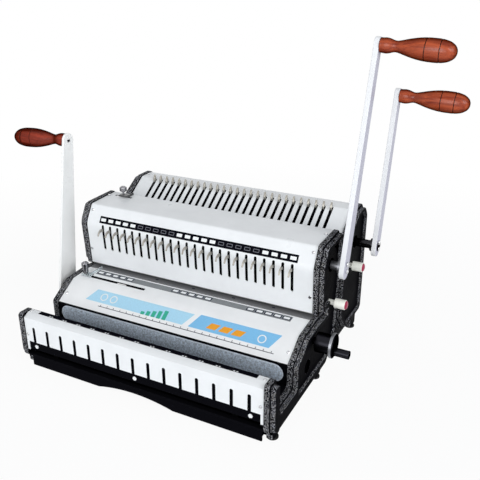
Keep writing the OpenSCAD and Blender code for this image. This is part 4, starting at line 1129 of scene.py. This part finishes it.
@dataclass
class Lever:
    """A lever arm with its turned grip, bolts and shaft.

    The pivot is a depth and a height, and the face is where the arm's outer side lies along the width.
    Foot and top give the width of the arm's round ends and how far their middles lie past pivot and grip.
    The lean and the droop are degrees. The grip's profile and rings are in hundredths of its length, with
    radii in millimetres.
    """

    name: str
    side: Side
    pivot: Pair
    length: float
    lean: float
    face: float
    thick: float
    shaft: str
    shaft_finish: Finish
    end_disc: float = 0.0
    droop: float = 3.0
    grip: float = 100.0
    wood: Finish = Finishes.WOOD
    paint: Finish = Finishes.LEVER
    foot: Pair = (23.0, 5.5)
    top: Pair = (16.0, 3.0)
    bolt_gap: float = 5.5
    arm_edge: Round = Round(0.8, 3)
    shaft_edge: Round = Round(0.4)
    arc_steps: int = 24
    grip_profile: Sequence[Pair] = (
        (-0.4, 0), (-0.4, 8.9), (3, 9.9), (8.5, 10.3), (13, 9.6), (17, 8.3), (21, 7.5), (26, 8.2),
        (38.5, 11.6), (50, 14.0), (61, 15.25), (72, 15.45), (80, 15.1), (87, 13.75), (91, 12.35),
        (95, 9.95), (97.5, 7.6), (99.4, 4.2), (99.95, 1.6), (100, 0))
    rings: Pair = (60.5, 79.5)
    ring_gap: float = 1.2
    ring_mark: float = 0.55
    groove: Sequence[Pair] = ((-0.6, 0.0), (-0.3, 0.7), (0.3, 0.7), (0.6, 0.0))

    @property
    def body(self) -> str:
        """Name of the CAD body that turns with the lever, and of the arm's node."""
        return self.name + "_lever"

    @property
    def out(self) -> Vector:
        """Direction away from the machine."""
        return Vector((self.side.value, 0, 0))

    def _at(self, inward: float, y: float, z: float) -> Vector:
        """Returns a place at some distance inside the arm's outer face."""
        return spot(self.side.value * (self.face - inward), y, z)

    def build(self) -> None:
        """Makes arm, grip, bolts and shaft."""
        self._arm()
        soften(self.shaft, self.shaft_finish, self.body, self.shaft_edge)
        self._grip()
        self._bolts()
        if self.end_disc:
            self._disc()

    def _arm(self) -> None:
        """Cuts the tapered arm with its round ends from an outline and rounds its edges."""
        lean = math.radians(self.lean)
        along = Vector((0, math.sin(lean), math.cos(lean)))
        across = Vector((0, -math.cos(lean), math.sin(lean)))
        middle = self._at(self.thick, *self.pivot)
        shape = bmesh.new()
        corners = []
        for (width, past), way in ((self.foot, -1), (self.top, 1)):
            reach = past + (self.length if way > 0 else 0.0)
            centre = middle + along * (way * reach * MM)
            for step in range(self.arc_steps + 1):
                turn = math.pi * step / self.arc_steps
                out = across * (way * math.cos(turn)) + along * (way * math.sin(turn))
                corners.append(shape.verts.new(centre + out * (width / 2 * MM)))
        shape.faces.new(corners)
        raised(shape, self.out * (self.thick * MM))
        make_piece(self.body + "_finished", shape, self.paint, self.body, [self.body],
                   self.arm_edge)

    def _tip(self) -> Tuple[Vector, Vector]:
        """Works out how the grip stands on the arm.

        Returns:
            Where the grip meets the arm and the direction of its drooping axis.
        """
        lean = math.radians(self.lean)
        droop = math.radians(self.droop)
        y = self.pivot[0] + self.length * math.sin(lean)
        z = self.pivot[1] + self.length * math.cos(lean)
        axis = Vector((self.side.value * math.cos(droop), 0, -math.sin(droop)))
        return self._at(0.0, y, z), axis

    def _grip(self) -> None:
        """Turns the wooden grip: collar, neck, belly with two scribed rings, blunt round end."""
        start, axis = self._tip()
        points = [(along * self.grip / 100, radius) for along, radius in self.grip_profile]
        profile = smooth_profile(points, steps=4)
        for ring in self.rings:
            middle = ring * self.grip / 100
            before = [point for point in profile if point[0] < middle - self.ring_gap]
            after = [point for point in profile if point[0] > middle + self.ring_gap]
            radius = (before[-1][1] + after[0][1]) / 2
            profile = [*before, *((middle + step, radius - cut) for step, cut in self.groove), *after]
        shape = turned(profile, start, axis, steps=48)
        for face in shape.faces:
            along = (face.calc_center_median() - start).dot(axis) / MM * 100 / self.grip
            face.material_index = int(min(abs(along - ring) for ring in self.rings) < self.ring_mark)
        node = self.name + "_grip"
        make_piece(node + "_turned", shape, self.wood, self.body, [node], smooth=60.0,
                   inside=Finishes.WOOD_RING)

    def _bolts(self) -> None:
        """Turns the two bolts of the lever's foot and the sunk bolt of its grip, whose socket holds a black
        hexagon of painted shade.
        """
        shank = -self.thick - 4
        foot = [(shank, 0), (shank, 2), (0, 2), (0, 3.3), (0.3, 3.6), (1.5, 3.6), (2.2, 3.1), (2.5, 2.3),
                (2.5, 1.6), (1.3, 1.4), (1.1, 0)]
        y, z = self.pivot
        places = [self._at(0.0, y, z + way * self.bolt_gap) for way in (-1, 1)]
        shapes = [turned(foot, place, self.out, steps=24) for place in places]
        start, axis = self._tip()
        top = -0.2 - self.thick
        neck = 2 - self.thick
        sunk = [(top + 1.2, 0), (top + 1.2, 3.3), (top, 3.5), (top, 4.2), (top + 0.3, 4.5), (neck, 4.5),
                (neck, 3), (69, 3), (69, 0)]
        shapes.append(turned(sunk, start, axis, steps=24))
        node = self.name + "_lever_bolts"
        make_piece(node + "_turned", merged(shapes), Finishes.BRIGHT, self.body, [node])
        # Painted shade: a black hexagon fills the sunk bolt's socket, where its recess lies in shade.
        socket = [(top + 0.15, 0), (top + 0.15, 3.3), (top + 1.1, 3.3), (top + 1.1, 0)]
        socket_shade = turned(socket, start, axis, steps=6)
        make_piece(self.name + "_grip_socket_shade", socket_shade, Finishes.DIAL, self.body)

    def _disc(self) -> None:
        """Turns the black disc under the foot's bolts."""
        rim = self.end_disc
        profile = [(-0.3, 0), (-0.3, rim), (1.0, rim), (1.5, rim - 0.5), (1.5, 0)]
        disc = turned(profile, self._at(0.0, *self.pivot), self.out, steps=40)
        make_piece(self.name + "_end_disc", disc, Finishes.DIAL, self.body)


@dataclass
class Hooks:
    """The row of hooks in the first hood and of fingers in the rear one."""

    edge: Round = Round(0.45)
    front_at: Point = (0.0, 155.5, 0.0)
    rear_at: Point = (0.0, 288.63, 199.19)
    rear_slope: float = 34.8

    def build(self) -> None:
        """Rounds the hooks and fingers and paints what stays inside the covers black as painted shade."""
        slope = math.radians(self.rear_slope)
        rear_out = Vector((0, -math.sin(slope), math.cos(slope)))
        for node, body, place, out in (
                ("front_hook_rack", "front_hooks", self.front_at, Vector((0, -1, 0))),
                ("rear_hook_rack", "rear_fingers", self.rear_at, rear_out)):
            shape = shade_under(shape_of(node), spot(*place), out)
            make_piece(node + "_finished", shape, Finishes.HOOK, body, [node], self.edge,
                       inside=Finishes.INSIDE_SHADE)


@dataclass
class Controls:
    """Gap dial, margin knobs, edge guides and their thumb screws."""

    dial_edge: Round = Round(0.6, 3)
    plate_edge: Round = Round(0.3)
    knob_edge: Round = Round(0.7, 3)
    cap_edge: Round = Round(0.3, 2, 60.0)
    guide_edge: Round = Round(0.3)
    front_head: float = 17.0
    rear_head: float = 7.0
    ribs: int = 28
    rib_from: float = 5.6
    rib_share: float = 0.09

    def build(self) -> None:
        """Makes the dial, the knobs and the guides."""
        self._dial()
        # The rear guide takes the dark copy of the clear sheet as painted shade.
        for unit, sheet in (("front", Finishes.CLEAR), ("rear", Finishes.CLEAR_PAINTED_SHADE)):
            soften(unit + "_margin_knob", Finishes.KNOB, unit + "_margin", self.knob_edge)
            soften(unit + "_margin_cap", Finishes.RED, unit + "_margin", self.cap_edge)
            soften(unit + "_edge_guide", sheet, unit + "_guide", self.guide_edge)
        self._thumb_screw("front", self.front_head)
        self._thumb_screw("rear", self.rear_head)

    def _dial(self) -> None:
        """Rounds the dial, brightens the rim of its disc and makes its plate."""
        low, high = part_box("dial_plate")
        axis = (low + high) / 2
        radius = (high.y - low.y) / 2
        shape = shape_of("gap_dial")
        for face in shape.faces:
            middle = face.calc_center_median()
            away = Vector((0, middle.y - axis.y, middle.z - axis.z)).length
            face.material_index = int(away > radius and abs(face.normal.x) < 0.5)
        make_piece("gap_dial_finished", shape, Finishes.DIAL, "gap_dial", ["gap_dial"],
                   self.dial_edge, inside=Finishes.SILVER)
        soften("dial_plate", Finishes.DIAL, "gap_dial", self.plate_edge)

    def _thumb_screw(self, unit: str, knurl: float) -> None:
        """Turns a thumb screw and knurls its head.

        Args:
            unit: which punch unit the screw belongs to.
            knurl: height of its head in millimetres.
        """
        node = unit + "_guide_screw"
        low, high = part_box(node)
        centre = (low + high) / 2
        tall = (high.z - low.z) / MM
        head = tall - knurl - 1.5
        end = head + knurl
        points = [(0, 0), (0, 4.4), (0.5, 4.9), (1.6, 4.9), (2, 4.4), (2, 1.6), (head - 1.5, 1.6),
                  (head - 1.2, 3.4), (head, 3.6), (head, 4.2), (head + 0.4, 4.6), (end - 7.0, 4.6),
                  (end - 6.6, 5.4), (end - 6.2, 5.9), (end - 0.8, 5.9), (end - 0.2, 5.4), (end, 4.2),
                  (end + 0.2, 3.9), (end + 1.2, 3.4), (end + 1.5, 2.4), (end + 1.5, 0)]
        steps = 2 * self.ribs
        shape = turned(points, Vector((centre.x, centre.y, low.z)), Vector((0, 0, 1)), steps)
        for vert in shape.verts:
            out = Vector((vert.co.x - centre.x, vert.co.y - centre.y, 0))
            turn = round(math.atan2(out.y, out.x) / (2 * math.pi) * steps)
            if out.length > self.rib_from * MM and turn % 2:
                vert.co -= out * self.rib_share
        make_piece(node + "_turned", shape, Finishes.KNURL, unit + "_screw", [node])


@dataclass
class Inner:
    """Pieces that keep their CAD shape: dies, guides, gears, bars and rods."""

    steel: Sequence[str] = (
        "tie_rods", "closing_slides", "front_gears", "rear_gears", "front_punch_bar", "front_punch_pins",
        "rear_punch_bar", "rear_punch_pins", "rear_die", "rear_punch_guide")
    dies: Sequence[str] = ("front_die", "front_punch_guide")

    def build(self) -> None:
        """Gives each inner piece its finish."""
        for node in self.steel:
            dress(node, Finishes.STEEL)
        for node in self.dies:
            dress(node, Finishes.DIE)
        dress("shaft_bushes", Finishes.SHAFT)
        dress("base_rails", Finishes.BLACK)


@dataclass
class Studio:
    """Floor, lamps, world and the camera at the photo's view, in metres and degrees."""

    eye: Point = (0.456996, -0.777723, 0.5511)
    pitch: float = 67.457
    yaw: float = 27.044
    lens: float = 47.687
    sensor: float = 36.0
    far: float = 20.0
    aim: Point = (0.0, 0.0, 0.15)
    lamp_size: float = 2.4
    white: Colour = (1.0, 1.0, 1.0)
    sky: Colour = (0.93, 0.96, 1.0)
    sky_strength: float = 0.42
    floor: Colour = (0.86, 0.87, 0.88)
    floor_size: float = 40.0
    shadow: Pair = (0.45, 1.1)
    shadow_glow: float = 0.93

    def build(self) -> None:
        """Sets up camera, lamps, world and floor."""
        self._camera()
        self._lamp("key_lamp", place=(0.35, -4.0, 1.35), power=82.0)
        self._lamp("side_lamp", place=(3.7, -1.5, 2.1), power=80.0)
        self._world()
        self._floor()
        bpy.context.scene.view_settings.view_transform = "Standard"

    def _camera(self) -> None:
        """Places the camera."""
        data = bpy.data.cameras.new("photo_view")
        data.lens = self.lens
        data.sensor_width = self.sensor
        data.clip_end = self.far
        camera = bpy.data.objects.new("photo_view", data)
        camera.location = self.eye
        camera.rotation_euler = (math.radians(self.pitch), 0.0, math.radians(self.yaw))
        bpy.context.scene.collection.objects.link(camera)
        bpy.context.scene.camera = camera

    def _lamp(self, name: str, place: Point, power: float) -> None:
        """Adds a square soft lamp that looks at the machine.

        Args:
            name: lamp name.
            place: where it hangs.
            power: watts.
        """
        data = bpy.data.lights.new(name, "AREA")
        data.shape = "SQUARE"
        data.size = self.lamp_size
        data.energy = power
        lamp = bpy.data.objects.new(name, data)
        lamp.location = place
        lamp.rotation_euler = (Vector(place) - Vector(self.aim)).to_track_quat("Z", "Y").to_euler()
        bpy.context.scene.collection.objects.link(lamp)

    @staticmethod
    def _seen(tree: Tree) -> Socket:
        """Tells rays that show the background itself from those that light the machine.

        Args:
            tree: node tree of the world or the floor.

        Returns:
            An output that is 1 for rays from the camera, off a gloss or through glass.
        """
        path = add_node(tree, "LightPath").outputs
        camera_or_gloss = math_node(tree, "MAXIMUM", path["Is Camera Ray"], path["Is Glossy Ray"])
        return math_node(tree, "MAXIMUM", camera_or_gloss, path["Is Transmission Ray"])

    def _world(self) -> None:
        """Gives a soft surround that shows as white."""
        world = bpy.data.worlds.new("studio")
        bpy.context.scene.world = world
        tree = cleared(world)
        sky = add_node(tree, "Background", {"Color": self.sky, "Strength": self.sky_strength})
        white = add_node(tree, "Background", {"Color": self.white, "Strength": 1.0})
        mixed = add_node(tree, "MixShader", {0: self._seen(tree), 1: sky.outputs[0], 2: white.outputs[0]})
        add_node(tree, "OutputWorld", {0: mixed.outputs[0]})

    def _floor(self) -> None:
        """Lays a pale floor that keeps the machine's shadow."""
        shape = bmesh.new()
        bmesh.ops.create_grid(shape, x_segments=2, y_segments=2, size=self.floor_size)
        mesh = bpy.data.meshes.new("floor")
        shape.to_mesh(mesh)
        shape.free()
        floor = bpy.data.objects.new("floor", mesh)
        bpy.context.scene.collection.objects.link(floor)
        made = bpy.data.materials.new("pale_floor")
        tree = cleared(made)
        matt = add_node(tree, "BsdfDiffuse", {"Color": self.floor})
        glow = add_node(tree, "Emission", {"Color": self.white, "Strength": 1.0})
        away = add_node(tree, "VectorMath", {0: here(tree)}, operation="LENGTH").outputs["Value"]
        clear = ramp(tree, away, *self.shadow, self.shadow_glow, 1.0)
        share = math_node(tree, "MULTIPLY", self._seen(tree), clear)
        mixed = add_node(tree, "MixShader", {0: share, 1: matt.outputs[0], 2: glow.outputs[0]})
        add_node(tree, "OutputMaterial", {0: mixed.outputs[0]})
        mesh.materials.append(made)


def main() -> None:
    """Builds every sub-assembly."""
    logging.basicConfig(level=logging.INFO, format="%(message)s")
    Studio().build()
    parts = [
        Castings(),
        Covers(),
        Strips(),
        Label(),
        Lever("left", Side.LEFT, pivot=(120, 50), length=267, lean=8.6, face=223.5, thick=4,
              shaft="closer_shaft", shaft_finish=Finishes.SHAFT, grip=106.0, wood=Finishes.WOOD_DARK,
              paint=Finishes.LEVER_PAINTED_LIGHT, foot=(40.0, 5.0), top=(22.0, 0.0)),
        Lever("front", Side.RIGHT, pivot=(199, 173), length=305, lean=15.9, face=229.5, thick=7.5,
              shaft="front_shaft", shaft_finish=Finishes.SILVER),
        Lever("rear", Side.RIGHT, pivot=(311, 167), length=227, lean=13.2, face=243.5, thick=7.5,
              shaft="rear_shaft", shaft_finish=Finishes.SHAFT, end_disc=8.0),
        Hooks(),
        Controls(),
        Inner(),
    ]
    for part in parts:
        part.build()


if __name__ == "__main__":
    main()
